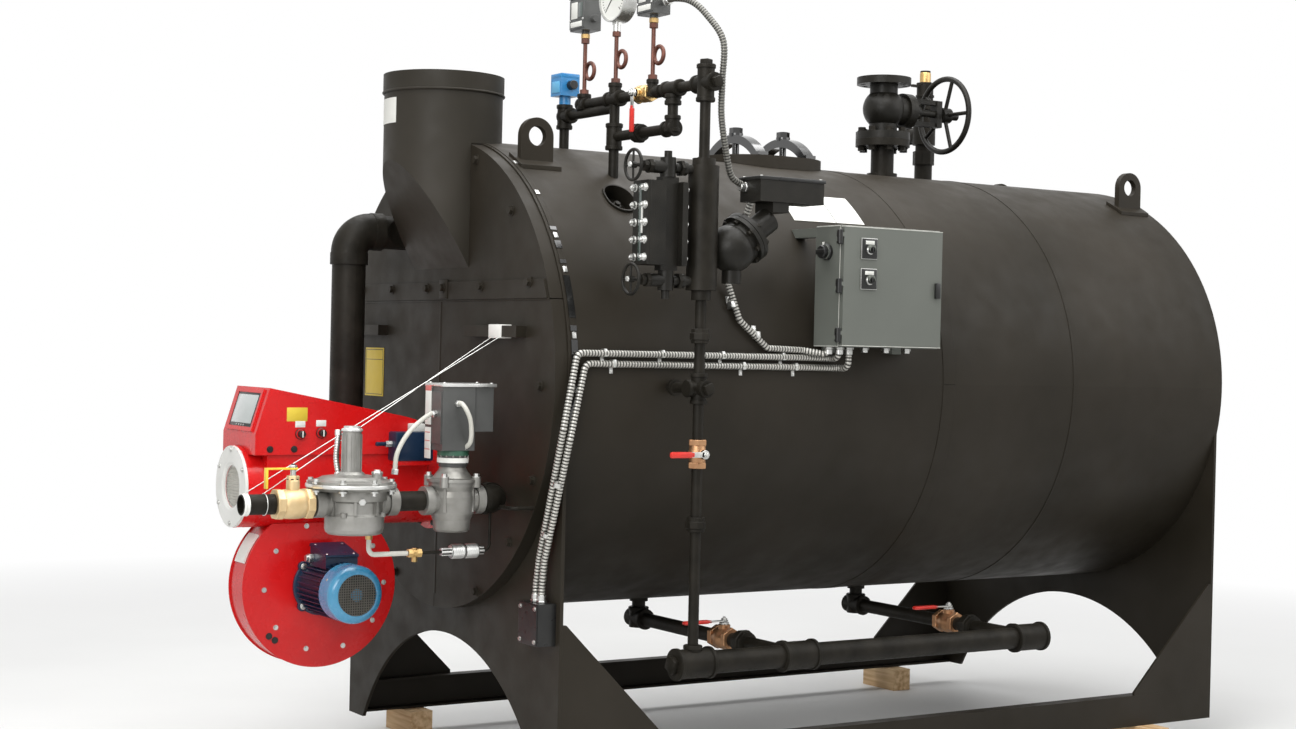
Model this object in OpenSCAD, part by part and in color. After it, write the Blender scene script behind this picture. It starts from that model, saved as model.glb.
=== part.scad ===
// Packaged horizontal firetube steam boiler with its burner, gas train, water column,
// steam trim, control panel, blowdown piping and base frame.
// Millimetres, +Z up, burner end towards -Y. The origin is the middle of the footprint,
// on the floor. Inside the modules the boiler axis is x = 0, z = 0 and the face of the
// front plate is y = 0; place() moves all of it onto the floor.

/* [Shell] */
// Outside diameter of the insulated shell
shell_d = 1580; // [1400:10:1800]
// Length over the two end plates
shell_l = 2905; // [2700:5:3400]
// Jacket, insulation and pressure plate together
shell_wall = 60; // [40:5:90]
// Thickness of the front and rear plates
plate_t = 12; // [8:1:20]
// Depth of the bolted front covers
cover_t = 45; // [30:1:70]

/* [Base] */
// Boiler axis down to the underside of the legs
foot_drop = 1270; // [1230:5:1400]
// Height of the base rails
rail_h = 115; // [80:5:150]
// Width of the base rails over their flanges
rail_w = 50; // [40:5:80]
// Thickness of the rail's web and flanges
rail_t = 8; // [6:1:12]
// Side of the timber blocks under the rails
timber = 90; // [70:5:120]
// Length of each timber block
timber_l = 210; // [180:10:400]
// Arch radius between the legs
arch_r = 732; // [700:2:760]
// Side of the triangular corner gussets
gusset = 400; // [300:10:450]
// Radius of the anchor holes in the rails
anchor_r = 11; // [7:0.5:14]
// Distance between the anchor holes along a rail
anchor_pitch = 1900; // [1600:10:2000]

/* [Flue stack] */
// Outside diameter of the stack
stack_d = 398; // [300:1:450]
// Wall of the stack
stack_wall = 5; // [3:1:10]
// Top of the stack above the boiler axis
stack_top = 1000; // [950:10:1300]
// Height of the collar round the stack's top
collar_h = 62; // [40:2:100]
// How far the collar stands out from the stack
collar_t = 4.2; // [2:0.1:10]

/* [Steam outlet] */
// Distance of the steam outlet behind the front plate
steam_y = 1850; // [1750:10:2000]
// Outside diameter of the steam flanges
flange_d = 210; // [190:2:240]
// Thickness of each steam flange
flange_t = 28; // [20:1:35]
// Bolt circle of the steam flanges
bolt_circle = 168.3; // [150:0.1:180]
// Radius of the flange bolt holes
bolt_hole_r = 11.1; // [9:0.1:13]
// Outside diameter of the steam neck
neck_d = 88.9; // [76:0.1:114]
// Underside of the nozzle's flange above the crown of the shell
nozzle_h = 115; // [100:5:150]
// Height of the steam valve between its flange faces
valve_h = 240; // [220:5:300]
// Diameter of the steam valve's handwheel
steam_wheel_d = 310; // [250:5:340]

/* [Water column] */
// Gap from the shell to the column's axis
column_gap = 160; // [140:5:220]
// Distance of the column behind the front plate
column_y = 372; // [350:2:420]
// Diameter of the column's body
column_d = 96; // [80:2:110]
// Underside of the column above the boiler axis
column_low = 285; // [260:5:320]
// Top of the column above the boiler axis
column_high = 670; // [640:5:700]
// Height of the upper trim header above the crown of the shell
header_rise = 135; // [125:5:170]
// Outside diameter of the trim piping
trim_d = 33.4; // [26:0.1:42]
// Diameter of the gauge valves' handwheels
gauge_wheel_d = 102; // [80:2:110]

/* [Control panel] */
// Width of the control panel
panel_w = 420; // [360:5:500]
// Height of the control panel
panel_h = 395; // [340:5:450]
// Depth of the control panel's box
panel_d = 132; // [100:2:150]
// Distance of the panel behind the front plate
panel_y = 925; // [900:5:1000]
// Underside of the panel above the boiler axis
panel_low = 122; // [110:2:180]
// Thickness of the panel's door
door_t = 16; // [10:1:25]

/* [Burner] */
// Height of the firing axis, counted from the boiler axis
fire_z = -367; // [-400:1:-340]
// Diameter of the burner's body
burner_d = 262; // [240:2:290]
// Length of the burner's body in front of the covers
burner_l = 719; // [660:1:760]
// Diameter of the fan housing
fan_d = 520; // [480:5:540]
// Thickness of the fan housing
fan_t = 122; // [100:2:140]
// Fan axis in front of the front plate
fan_y = 486; // [460:2:500]
// Fan axis below the firing axis
fan_drop = 320; // [310:2:340]
// Diameter of the fan motor
motor_d = 196; // [170:2:210]
// Length of the fan motor
motor_l = 290; // [240:5:320]

/* [Gas train] */
// Distance of the gas train from the boiler's middle plane
gas_x = 560; // [540:5:620]
// Height of the gas train, counted from the boiler axis
gas_z = -378; // [-400:1:-350]
// Outside diameter of the gas pipe
gas_d = 60.3; // [48:0.1:73]

/* [Blowdown] */
// Distance of the blowdown header's axis below the shell
blow_gap = 78; // [70:2:100]
// Outside diameter of the blowdown header
blow_d = 73; // [60:0.1:89]

/* [Hidden] */
$fn = 48;

// Overlap of cutting solids past the faces they cut
cut = 5;
// Clearance between pieces that are seated on each other
seat = 0.3;
// Running clearance of a stem in its gland
run = 0.1;

shell_r = shell_d / 2;
stack_r = stack_d / 2;
stack_y = -cover_t - 5;
boot_low = 355;
boot_slope = 60;
axis_z = timber + foot_drop;
leg_x = shell_r - 20;
arch_z = -876 - arch_r;
rail_top = rail_h - foot_drop;
nozzle_top = shell_r + nozzle_h;
valve_low = nozzle_top + flange_t + seat;
valve_z = valve_low + valve_h / 2;
wheel_y = steam_y + 310;
column_x = shell_r + column_gap;
gauge_y = column_y - 132;
gauge_wheel_y = column_y - 257;
upper_valve_z = column_high - 14;
lower_valve_z = column_low + 26;
panel_x = shell_r + 12;
drain_valve_z = -220;
tee_z = -18;
fan_z = fire_z - fan_drop;
front_run_y = 775;
rear_run_y = 1770;
blow_valve_x = 540;
bowl_flange_r = 84;
gas_low_y = -955;
header_z = shell_r + header_rise;
blow_z = -shell_r - blow_gap;

// Limits of the footprint, which put the origin in its middle
x_high = column_x + bowl_flange_r;
x_low = -leg_x + rail_w / 2 - timber_l / 2;
y_low = gas_low_y;
y_high = shell_l + 65;

black = [0.16, 0.155, 0.14];
cast_black = [0.12, 0.12, 0.11];
burner_red = [0.82, 0.07, 0.06];
brass = [0.72, 0.55, 0.28];
castings = [0.68, 0.68, 0.66];
zinc = [0.72, 0.72, 0.70];
panel_grey = [0.45, 0.47, 0.46];

// Moves the boiler's own frame onto the floor, with the footprint's middle at the origin
module place() {
    translate([-(x_low + x_high) / 2, -(y_low + y_high) / 2, axis_z])
        children();
}

// Turns a shape drawn along +Z so that it runs along +X, +Y or -Y
module along_x() { rotate([0, 90, 0]) children(); }
module along_y() { rotate([-90, 0, 0]) children(); }
module along_front() { rotate([90, 0, 0]) children(); }

// Round bar from point p, of radius r and length l, along one of the axes
module bar_x(p, r, l) { translate(p) along_x() cylinder(r = r, h = l); }
module bar_y(p, r, l) { translate(p) along_y() cylinder(r = r, h = l); }
module bar_z(p, r, l) { translate(p) cylinder(r = r, h = l); }

// Box from its low corner
module box(p, s) { translate(p) cube(s); }

// Oval prism with round ends: length over the ends along X, width along Y
module oval(length, width, h) {
    flat = length - width;
    translate([-flat / 2, -width / 2, 0]) cube([flat, width, h]);
    for (side = [-1, 1])
        translate([side * flat / 2, 0, 0]) cylinder(d = width, h = h);
}

function unit(v) = v / norm(v);

// Round tube that follows points, with a bend of one radius at each corner
module route(points, r, bend) {
    last = len(points) - 1;
    turn = [for (i = [0:last]) i == 0 || i == last ? 0
        : acos(unit(points[i] - points[i - 1]) * unit(points[i + 1] - points[i]))];
    for (i = [0:last - 1]) {
        way = unit(points[i + 1] - points[i]);
        start = points[i] + way * bend * tan(turn[i] / 2);
        end = points[i + 1] - way * bend * tan(turn[i + 1] / 2);
        aim(start, way) cylinder(r = r, h = norm(end - start));
    }
    for (i = [1:last - 1]) {
        way = unit(points[i] - points[i - 1]);
        turn_axis = unit(cross(way, points[i + 1] - points[i]));
        inward = cross(turn_axis, way);
        from = points[i] - way * bend * tan(turn[i] / 2);
        frame_at(from + inward * bend, -inward, way, turn_axis)
            rotate_extrude(angle = turn[i]) translate([bend, 0]) circle(r = r);
        onward = unit(points[i + 1] - points[i]);
        aim(from, way) sphere(r = r + 0.8);
        aim(points[i] + onward * bend * tan(turn[i] / 2), onward) sphere(r = r + 0.8);
    }
}

// Puts a shape's own axes u, v, w at point p
module frame_at(p, u, v, w) {
    multmatrix([
        [u[0], v[0], w[0], p[0]],
        [u[1], v[1], w[1], p[1]],
        [u[2], v[2], w[2], p[2]],
        [0, 0, 0, 1]
    ]) children();
}

// Points a shape drawn along +Z from p along way
module aim(p, way) {
    side = abs(way[2]) > 0.9 ? [1, 0, 0] : [0, 0, 1];
    u = unit(cross(side, way));
    frame_at(p, u, cross(way, u), way) children();
}

// Solid inside of the flue, from the boot's foot up past the stack
module flue_way() {
    translate([0, stack_y, boot_low + 45])
        cylinder(r = stack_r - stack_wall, h = stack_top);
}

// The shell's own outside, as a solid
module shell_solid(extra = 0) {
    translate([0, -cut, 0]) along_y() cylinder(r = shell_r + extra, h = shell_l, $fn = 240);
}

module shell_jacket() {
    color(black) difference() {
        translate([0, plate_t, 0])
            along_y() cylinder(r = shell_r, h = shell_l - 2 * plate_t, $fn = 240);
        along_y() cylinder(r = shell_r - shell_wall, h = shell_l, $fn = 96);
        flue_way();
        handhole_place() translate([0, 0, -shell_wall - 30])
            oval(handhole_l, handhole_w, 2 * shell_wall);
    }
}

// Outline of an end plate: a disc that runs down into two legs with an arch between
module end_plate_outline() {
    difference() {
        union() {
            circle(r = shell_r, $fn = 240);
            translate([-leg_x, -foot_drop]) square([2 * leg_x, foot_drop]);
        }
        translate([0, arch_z]) circle(r = arch_r, $fn = 240);
    }
}

module end_plate() {
    along_front() translate([0, 0, -plate_t]) linear_extrude(plate_t) end_plate_outline();
}

module front_plate() {
    color(black) difference() {
        end_plate();
        flue_way();
        bar_y([0, -cut, fire_z], blast_r + 3, plate_t + 2 * cut);
    }
}

module rear_plate() {
    color(black) translate([0, shell_l - plate_t, 0]) end_plate();
}

// Bolted rear cover with its raised rim and a small inspection cap
module rear_door() {
    color(black) {
        bar_y([0, shell_l, 0], shell_r - 60, 12);
        bar_y([0, shell_l + 12, 0], shell_r - 95, 38);
        bar_y([0, shell_l + 50, fire_z], 60, 15);
    }
}

cover_r = shell_r - 5;
cover_split = 250;
cover_gap = 3;
strip_h = 60;
strip_t = 6;
blast_r = 112;

// Part of the round front cover inside a box given by its low corner and size
module cover_piece(p, s) {
    intersection() {
        translate([0, -cover_t, 0]) along_y() cylinder(r = cover_r, h = cover_t, $fn = 96);
        box([p[0], -cover_t - cut, p[1]], [s[0], cover_t + 2 * cut, s[1]]);
    }
}

// Upper cover, open into the flue, with the bolted strip along its lower edge
module upper_front_cover() {
    color(black) difference() {
        union() {
            cover_piece([-cover_r, cover_split], [2 * cover_r, cover_r]);
            intersection() {
                translate([0, -cover_t - strip_t, 0])
                    along_y() cylinder(r = cover_r - 12, h = strip_t + cut, $fn = 96);
                box([-cover_r, -cover_t - strip_t, cover_split], [2 * cover_r, strip_t + 1, strip_h]);
            }
        }
        flue_way();
    }
}

// Bar across a lower cover, from x1 to x2
module cover_bar(x1, x2) {
    box([x1, -cover_t - 38, 128], [x2 - x1, 38, 36]);
}

module lower_cover(side) {
    color(black) {
        difference() {
            cover_piece([side > 0 ? cover_gap / 2 : -cover_r, -cover_r],
                [cover_r - cover_gap / 2, cover_r + cover_split - cover_gap]);
            bar_y([0, -cover_t - cut, fire_z], blast_r + 3, cover_t + 2 * cut);
        }
        if (side > 0) cover_bar(250, 600);
        else cover_bar(-cover_r + 25, -410);
    }
}

// Channel rail with its flanges inwards and two anchor holes in the lower flange
module base_rail(side) {
    middle = shell_l / 2;
    color(black) difference() {
        box([side > 0 ? leg_x - rail_w : -leg_x, plate_t, -foot_drop],
            [rail_w, shell_l - 2 * plate_t, rail_h]);
        box([side > 0 ? leg_x - rail_w - cut : -leg_x + rail_t, 0, -foot_drop + rail_t],
            [rail_w - rail_t + cut, shell_l, rail_h - 2 * rail_t]);
        for (end = [-1, 1])
            translate([side * anchor_x, middle + end * anchor_pitch / 2, -foot_drop - cut])
                cylinder(r = anchor_r, h = rail_t + 2 * cut);
    }
}

anchor_x = leg_x - rail_w / 2 - rail_t / 2;

// Four triangular plates between the end plates and the rails
module corner_gussets() {
    color(black)
        for (side = [-1, 1], end = [0, 1])
            translate([side * (leg_x - 5), end * shell_l, rail_top])
                mirror([0, end, 0]) gusset_plate();
}

module gusset_plate() {
    rotate([90, 0, 90]) translate([0, 0, -5]) linear_extrude(10)
        polygon([[plate_t, 0], [plate_t + gusset, 0], [plate_t + gusset, 12],
            [plate_t + 12, gusset], [plate_t, gusset]]);
}

// Four sawn blocks across the rails
module timber_blocks() {
    color([0.72, 0.53, 0.34])
        for (side = [-1, 1], y = [190, shell_l - 400])
            box([side * (leg_x - rail_w / 2) - timber_l / 2, y, -axis_z],
                [timber_l, timber, timber]);
}

// Space in front of the boot's slanting foot, moved outwards by extra
module boot_keep(extra = 0) {
    translate([0, -cover_t, boot_low]) rotate([-boot_slope, 0, 0])
        translate([-shell_r, -shell_r, -extra])
            cube([2 * shell_r, 2 * shell_r, 3 * shell_r]);
}

module flue_stack() {
    color(black) difference() {
        union() {
            intersection() {
                translate([0, stack_y, boot_low]) cylinder(r = stack_r, h = stack_top - boot_low);
                boot_keep();
            }
            translate([0, stack_y, stack_top - collar_h]) cylinder(r = stack_r + collar_t, h = collar_h);
        }
        intersection() {
            translate([0, stack_y, boot_low])
                cylinder(r = stack_r - stack_wall, h = stack_top);
            boot_keep(-stack_wall);
        }
        translate([0, -cover_t - seat, 0]) along_y()
            cylinder(r = shell_r + seat, h = shell_l, $fn = 96);
    }
}

lug_x = 372;
lug_hole_r = 32;

// Lifting lug with its eye, on a curved pad
module lifting_lug(side) {
    lug_z = sqrt(shell_r * shell_r - lug_x * lug_x);
    difference() {
        union() {
            translate([side * lug_x - 12, 0, lug_z + 88]) along_x() cylinder(r = 60, h = 24);
            box([side * lug_x - 12, -60, lug_z - 60], [24, 120, 148]);
            intersection() {
                translate([0, -80, 0]) along_y() cylinder(r = shell_r + 12, h = 160, $fn = 96);
                box([side * lug_x - 42, -75, 0], [84, 150, shell_r]);
            }
        }
        translate([side * lug_x - 20, 0, lug_z + 88]) along_x() cylinder(r = lug_hole_r, h = 40);
        translate([0, -90, 0]) along_y() cylinder(r = shell_r, h = 180, $fn = 96);
    }
}

module lifting_lugs() {
    color(black)
        for (side = [-1, 1], y = [100, shell_l - 100])
            translate([0, y, 0]) lifting_lug(side);
}

handhole_l = 136;
handhole_w = 114;
handhole_angle = 48;
handhole_y = 330;

// Frame of the inspection opening: its Z points out of the shell
module handhole_place() {
    translate([0, handhole_y, 0]) rotate([0, 90 - handhole_angle, 0])
        translate([0, 0, shell_r]) children();
}

// Lining of the inspection opening with the plate, stud and nut at its foot
module handhole() {
    color(cast_black) handhole_place() {
        difference() {
            translate([0, 0, -shell_wall]) oval(handhole_l - 2 * seat, handhole_w - 2 * seat, shell_wall + 6);
            translate([0, 0, -shell_wall + 10]) oval(handhole_l - 12, handhole_w - 12, shell_wall + 6);
        }
        translate([0, 0, -shell_wall + 10]) cylinder(r = 9, h = 34);
        translate([0, 0, -shell_wall + 22]) cylinder(r = 16, h = 14, $fn = 6);
    }
}

manhole_y = 1262;
ring_top = 24;

// Oval manhole ring on the crown of the shell, with the cover plate inside it
module manhole_ring() {
    color(black) difference() {
        translate([0, manhole_y, 0]) rotate(90) {
            difference() {
                oval(480, 380, shell_r + ring_top);
                translate([0, 0, shell_r + 8]) oval(406, 306, ring_top);
            }
        }
        shell_solid();
    }
}

// One of the two arched bars with its bolt and nut
module manhole_yoke() {
    half_span = 172;
    rise = 84;
    outer_r = (half_span * half_span + rise * rise) / (2 * rise);
    foot = shell_r + ring_top + seat;
    translate([0, -22, 0]) {
        intersection() {
            difference() {
                translate([0, 0, foot + rise - outer_r]) along_y() cylinder(r = outer_r, h = 44, $fn = 72);
                translate([0, -cut, foot + rise - outer_r - 6])
                    along_y() cylinder(r = outer_r - 26, h = 60, $fn = 72);
            }
            box([-half_span, -cut, foot], [2 * half_span, 60, rise + 1]);
        }
        for (side = [-1, 1]) box([side * (half_span - 18) - 22, 0, foot], [44, 44, 12]);
    }
    bar_z([0, 0, shell_r + 8], 13, ring_top + rise + 20);
    bar_z([0, 0, foot + rise - 6], 27, 12);
    translate([0, 0, foot + rise + 6]) cylinder(r = 25, h = 20, $fn = 6);
}

module manhole_yokes() {
    color(cast_black)
        for (side = [-1, 1]) translate([0, manhole_y + side * 108, 0]) manhole_yoke();
}

// Round flange with a ring of bolt holes
module bolted_flange(r, t, holes = false) {
    difference() {
        cylinder(r = r, h = t);
        if (holes)
            for (i = [0:7]) rotate(22.5 + i * 45)
                translate([bolt_circle / 2, 0, -cut]) cylinder(r = bolt_hole_r, h = t + 2 * cut);
    }
}

module steam_nozzle() {
    color(cast_black) difference() {
        translate([0, steam_y, 0]) {
            bar_z([0, 0, shell_r - 40], neck_d / 2, nozzle_h + 40);
            bar_z([0, 0, shell_r - 10], neck_d / 2 + 14, 22);
            translate([0, 0, nozzle_top]) bolted_flange(flange_d / 2, flange_t);
        }
        shell_solid();
    }
}

port_r = 38;
port_depth = 70;
bonnet_r = 68;

// Gate valve body: two flanges, a swelling chamber and the side flange of the bonnet
module steam_valve_body() {
    color(cast_black) translate([0, steam_y, valve_low]) difference() {
        union() {
            bolted_flange(flange_d / 2, flange_t);
            translate([0, 0, valve_h - flange_t]) bolted_flange(flange_d / 2, flange_t, true);
            cylinder(r = 54, h = valve_h);
            translate([0, 0, valve_h / 2]) sphere(r = 80);
            translate([0, 40, valve_h / 2]) along_y() cylinder(r = 56, h = 48);
            translate([0, 88, valve_h / 2]) along_y() cylinder(r = bonnet_r, h = 18);
        }
        translate([0, 0, valve_h - port_depth]) cylinder(r = port_r, h = port_depth + cut);
    }
}

// Bonnet, open yoke and the sleeve that carries the handwheel
module steam_valve_bonnet() {
    start = steam_y + 106 + seat;
    yoke_end = wheel_y - 40;
    color(cast_black) {
        bar_y([0, start, valve_z], bonnet_r, 18);
        bar_y([0, start + 18, valve_z], 42, 26);
        bar_y([0, start + 44, valve_z], 26, 24);
        bar_y([0, start + 68, valve_z], 14, yoke_end - start - 68);
        for (side = [-1, 1])
            box([-14, start + 18, valve_z + side * 44 - 9], [28, yoke_end - start - 6, 18]);
        box([-20, yoke_end - 14, valve_z - 52], [40, 26, 104]);
        bar_y([0, yoke_end + 12, valve_z], 16, 90);
    }
}

// Spoked wheel on its side: rim, hub and curved-section spokes, drawn about +Z
module handwheel(r, rim_r, hub_r, hub_h, spokes, bore_r) {
    difference() {
        union() {
            rotate_extrude($fn = 72) translate([r - rim_r, 0]) circle(r = rim_r, $fn = 24);
            translate([0, 0, -hub_h / 2]) cylinder(r = hub_r, h = hub_h);
            for (i = [0:spokes - 1]) rotate(i * 360 / spokes)
                along_x() translate([0, 0, hub_r - 2])
                    cylinder(r = rim_r * 0.7, h = r - rim_r - hub_r + 2, $fn = 20);
        }
        translate([0, 0, -hub_h]) cylinder(r = bore_r, h = 2 * hub_h);
    }
}

module steam_valve_handwheel() {
    color(cast_black) translate([0, wheel_y, valve_z])
        along_y() handwheel(steam_wheel_d / 2, 11, 30, 44, 5, 16 + run);
}

safety_x = -250;
safety_y = 2270;

// Spring safety valve on its nipple, with a side outlet, test lever and brass cap.
// Heights are counted from the crown of the shell
module safety_valve() {
    translate([safety_x, safety_y, shell_r]) {
        color(cast_black) difference() {
            bar_z([0, 0, -90], 36, 180);
            translate([-safety_x, -safety_y, -shell_r]) shell_solid();
        }
        color(cast_black) {
            translate([0, 0, 90]) cylinder(r = 44, h = 56, $fn = 8);
            bar_z([0, 0, 146], 34, 26);
            bar_z([0, 0, 172], 46, 84);
            bar_x([-96, 0, 216], 30, 60);
            bar_x([-104, 0, 216], 36, 22);
            bar_z([0, 0, 256], 50, 14);
            bar_z([0, 0, 270], 34, 150);
            for (i = [0:3]) bar_z([0, 0, 290 + i * 26], 38, 8);
            box([-7, -70, 406], [14, 90, 10]);
        }
        color(brass) bar_z([0, 0, 420], 21, 56);
    }
}

riser_cross = header_z;

// Column body with its caps, lower cross connection, riser and upper cross
module water_column() {
    lower_pipe = tee_z;
    color(cast_black) translate([column_x, column_y, 0]) {
        bar_z([0, 0, column_low], column_d / 2, column_high - column_low);
        bar_z([0, 0, column_high], 36, 22);
        bar_z([0, 0, column_high + 22], trim_d / 2, riser_cross - column_high - 70);
        bar_z([0, 0, riser_cross - 56], 27, 112);
        bar_z([0, 0, riser_cross + 56], 16, 16);
        bar_x([-52, 0, riser_cross], 26, 104);
        bar_x([52, 0, riser_cross], 17, 14);
        bar_z([0, 0, column_low - 30], 30, 30);
        bar_z([0, 0, lower_pipe + 46], trim_d / 2, column_low - 76 - lower_pipe);
        bar_z([0, 0, lower_pipe + 140], 27, 44);
    }
}

// Upper and lower gauge valves between the column and the gauge
module gauge_valve(z) {
    translate([column_x, 0, z]) {
        bar_y([0, gauge_y + 22, 0], 15, column_y - gauge_y - 22 - column_d / 2 + 4);
        bar_y([0, gauge_y + 40, 0], 22, 24);
        bar_z([0, gauge_y, -30], 24, 60);
        bar_y([0, gauge_y - 60, 0], 20, 60);
        bar_y([0, gauge_y - 78, 0], 15, 18);
        bar_y([0, gauge_wheel_y - 14, 0], 5, gauge_y - 64 - gauge_wheel_y);
    }
}

module gauge_valves() {
    color(cast_black) difference() {
        union() {
            gauge_valve(upper_valve_z);
            gauge_valve(lower_valve_z);
            bar_z([column_x, gauge_y, upper_valve_z + 30], 12, 20);
            bar_z([column_x, gauge_y, lower_valve_z - 56], 12, 28);
        }
        bar_z([column_x, column_y, column_low], column_d / 2 + seat, column_high);
    }
}

gauge_block_h = upper_valve_z - lower_valve_z - 90;

// Flat glass gauge: chamber, clamping block and the nuts of its cover
module gauge_glass() {
    low = lower_valve_z + 45;
    color(cast_black) {
        box([column_x - 17, gauge_y - 30, low - 15 + seat], [34, 60, gauge_block_h + 30 - 2 * seat]);
        box([column_x - 42, gauge_y - 96, low], [84, 66, gauge_block_h]);
        box([column_x - 42, gauge_y + 30, low], [84, 20, gauge_block_h]);
    }
    color(zinc)
        for (row = [0:4], side = [-1, 1])
            translate([column_x + side * 29, gauge_y - 96, low + 22 + row * (gauge_block_h - 44) / 4])
                along_front() cylinder(r = 9, h = 12, $fn = 6);
}

module gauge_handwheel(z) {
    color(cast_black) translate([column_x, gauge_wheel_y, z])
        along_front() handwheel(gauge_wheel_d / 2, 5, 10, 18, 4, 5 + run);
}

cutoff_y = column_y + 112;
cutoff_z = 420;
cutoff_tilt = 35;

// Float bowl beside the column, with its slanted flange, neck and switch box
module low_water_cutoff() {
    color(cast_black) difference() {
        translate([column_x, cutoff_y, cutoff_z]) {
            sphere(r = 76);
            bar_z([0, 0, -110], 30, 60);
            rotate([cutoff_tilt, 0, 0]) {
                along_y() cylinder(r = 70, h = 46);
                bar_y([0, 46, 0], bowl_flange_r, 14);
                bar_y([0, 62, 0], bowl_flange_r, 14);
                bar_y([0, 60, 0], 60, 34);
                bar_y([0, 94, 0], 40, 76);
            }
            box([-48, 120, 118], [96, 62, 40]);
            box([-55, 66, 150], [110, 248, 70]);
            box([-58, 62, 218], [116, 256, 10]);
        }
        bar_z([column_x, column_y, column_low - 40], column_d / 2 + seat, column_high);
    }
}

header_tee_x = 767;
header_valve_x = 600;
header_end_x = 215;
riser_x = 415;
header_low = header_z - 125;
transmitter_x = 85;

// Tee or elbow swelling on a pipe along X or Z
module boss_x(x, z, l, r) { bar_x([x - l / 2, column_y, z], r, l); }
module boss_z(x, z, l, r) { bar_z([x, column_y, z - l / 2], r, l); }

// Piping over the crown: upper header, lower run, riser from the shell and branches
module trim_header() {
    pipe_r = trim_d / 2;
    color(cast_black) difference() {
        union() {
            bar_x([header_end_x, column_y, header_z], pipe_r, column_x - 52 - header_end_x - seat);
            boss_x(header_tee_x, header_z, 84, 24);
            boss_x(riser_x, header_z, 78, 24);
            boss_x(header_end_x, header_z, 44, 21);
            boss_z(header_end_x, header_z + 8, 50, 21);
            boss_x(header_valve_x + 84, header_z, 30, 21);
            boss_z(header_valve_x + 44, header_z + 14, 52, 17);
            bar_z([header_tee_x, column_y, header_low], pipe_r, header_z - header_low);
            boss_z(header_tee_x, header_z - 34, 30, 24);
            boss_z(header_tee_x, header_low + 14, 50, 23);
            bar_x([riser_x, column_y, header_low], pipe_r, header_tee_x - riser_x);
            boss_x(header_tee_x - 10, header_low, 58, 23);
            boss_x(570, header_low, 46, 27);
            boss_z(riser_x, header_low, 84, 26);
            bar_z([riser_x, column_y, shell_r - 150], pipe_r, header_rise + 150);
            boss_z(riser_x, header_z + 26, 50, 20);
            bar_x([transmitter_x, column_y, header_z - 30], pipe_r, riser_x - transmitter_x);
            boss_z(transmitter_x, header_z - 32, 80, 25);
            boss_x(transmitter_x + 20, header_z - 30, 60, 24);
            bar_z([transmitter_x, column_y, shell_r - 50], pipe_r, header_rise + 50);
        }
        shell_solid();
    }
    color(brass) {
        boss_x(header_valve_x, header_z, 86, 25);
        translate([header_valve_x, column_y, header_z]) along_front() cylinder(r = 13, h = 40);
        translate([header_valve_x, column_y, header_z]) along_front() cylinder(r = 5, h = 60);
    }
}

// Flat lever of a ball valve: its eye at the stem, a step away from it and the grip.
// Drawn in the XY plane with the stem along Z and the grip along -X
module ball_lever(length, stem_r, grip_r) {
    difference() {
        union() {
            cylinder(r = 13, h = 4);
            translate([-length * 0.45, -8, 0]) cube([length * 0.45, 16, 4]);
        }
        translate([0, 0, -1]) cylinder(r = stem_r + run, h = 8);
    }
    translate([-length, 0, 2]) along_x() cylinder(r = grip_r, h = length * 0.56, $fn = 24);
    translate([-length, 0, 2]) sphere(r = grip_r, $fn = 24);
}

module header_valve_lever() {
    color(burner_red) translate([header_valve_x, column_y - 46, header_z])
        rotate([90, 0, 0]) rotate(90) ball_lever(120, 5, 8);
}

siphon_r = 7;
siphon_low = [header_end_x, riser_x + 2, header_valve_x + 44];
siphon_top = header_z + 223;

// One looped siphon tube from z0 up to z1 at x
module siphon(x, z0, z1) {
    loop_r = 27;
    loop_z = z0 + 78;
    translate([x, column_y, 0]) {
        bar_z([0, 0, z0], siphon_r, loop_z - z0);
        translate([loop_r, 5, loop_z]) rotate([90, 0, 0])
            rotate_extrude($fn = 60) translate([loop_r, 0]) circle(r = siphon_r, $fn = 20);
        bar_z([0, 0, loop_z], siphon_r, z1 - loop_z);
        bar_z([0, 0, z0], 13, 16);
        bar_z([0, 0, z1 - 16], 12, 16);
    }
}

siphon_foot = [header_z + 33, header_z + 51, header_z + 40];

module siphon_tubes() {
    color([0.35, 0.20, 0.14])
        for (i = [0:2]) siphon(siphon_low[i], siphon_foot[i] + seat, siphon_top);
}

gauge_r = 82;

// Steam gauge that looks towards the burner end, on the middle siphon
module pressure_gauge() {
    z = siphon_top + seat;
    color(zinc) translate([siphon_low[1], column_y, z]) {
        bar_z([0, 0, 0], 12, 30);
        translate([0, 30, 30 + gauge_r]) along_front() difference() {
            cylinder(r = gauge_r, h = 50);
            translate([0, 0, 44]) cylinder(r = gauge_r - 7, h = 10);
        }
        box([-11, -11, 22], [22, 22, 20]);
    }
}

module pressure_switch(x) {
    translate([x, column_y, siphon_top + seat]) {
        bar_z([0, 0, 0], 13, 24);
        box([-46, -34, 24], [92, 66, 128]);
        box([-50, -38, 132], [100, 74, 24]);
        bar_x([46, 0, 62], 12, 22);
    }
}

module pressure_switches() {
    color([0.32, 0.33, 0.33]) {
        pressure_switch(siphon_low[0]);
        pressure_switch(siphon_low[2]);
    }
}

module pressure_transmitter() {
    color([0.08, 0.36, 0.66]) translate([transmitter_x, column_y, header_z + 8 + seat]) {
        bar_z([0, 0, 0], 20, 30);
        box([-36, -36, 30], [72, 72, 76]);
        bar_x([36, 0, 66], 12, 24);
    }
}

hinge_r = 7;
hinge_x = panel_x + panel_d + 8;
hinge_y = panel_y - 9;

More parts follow.
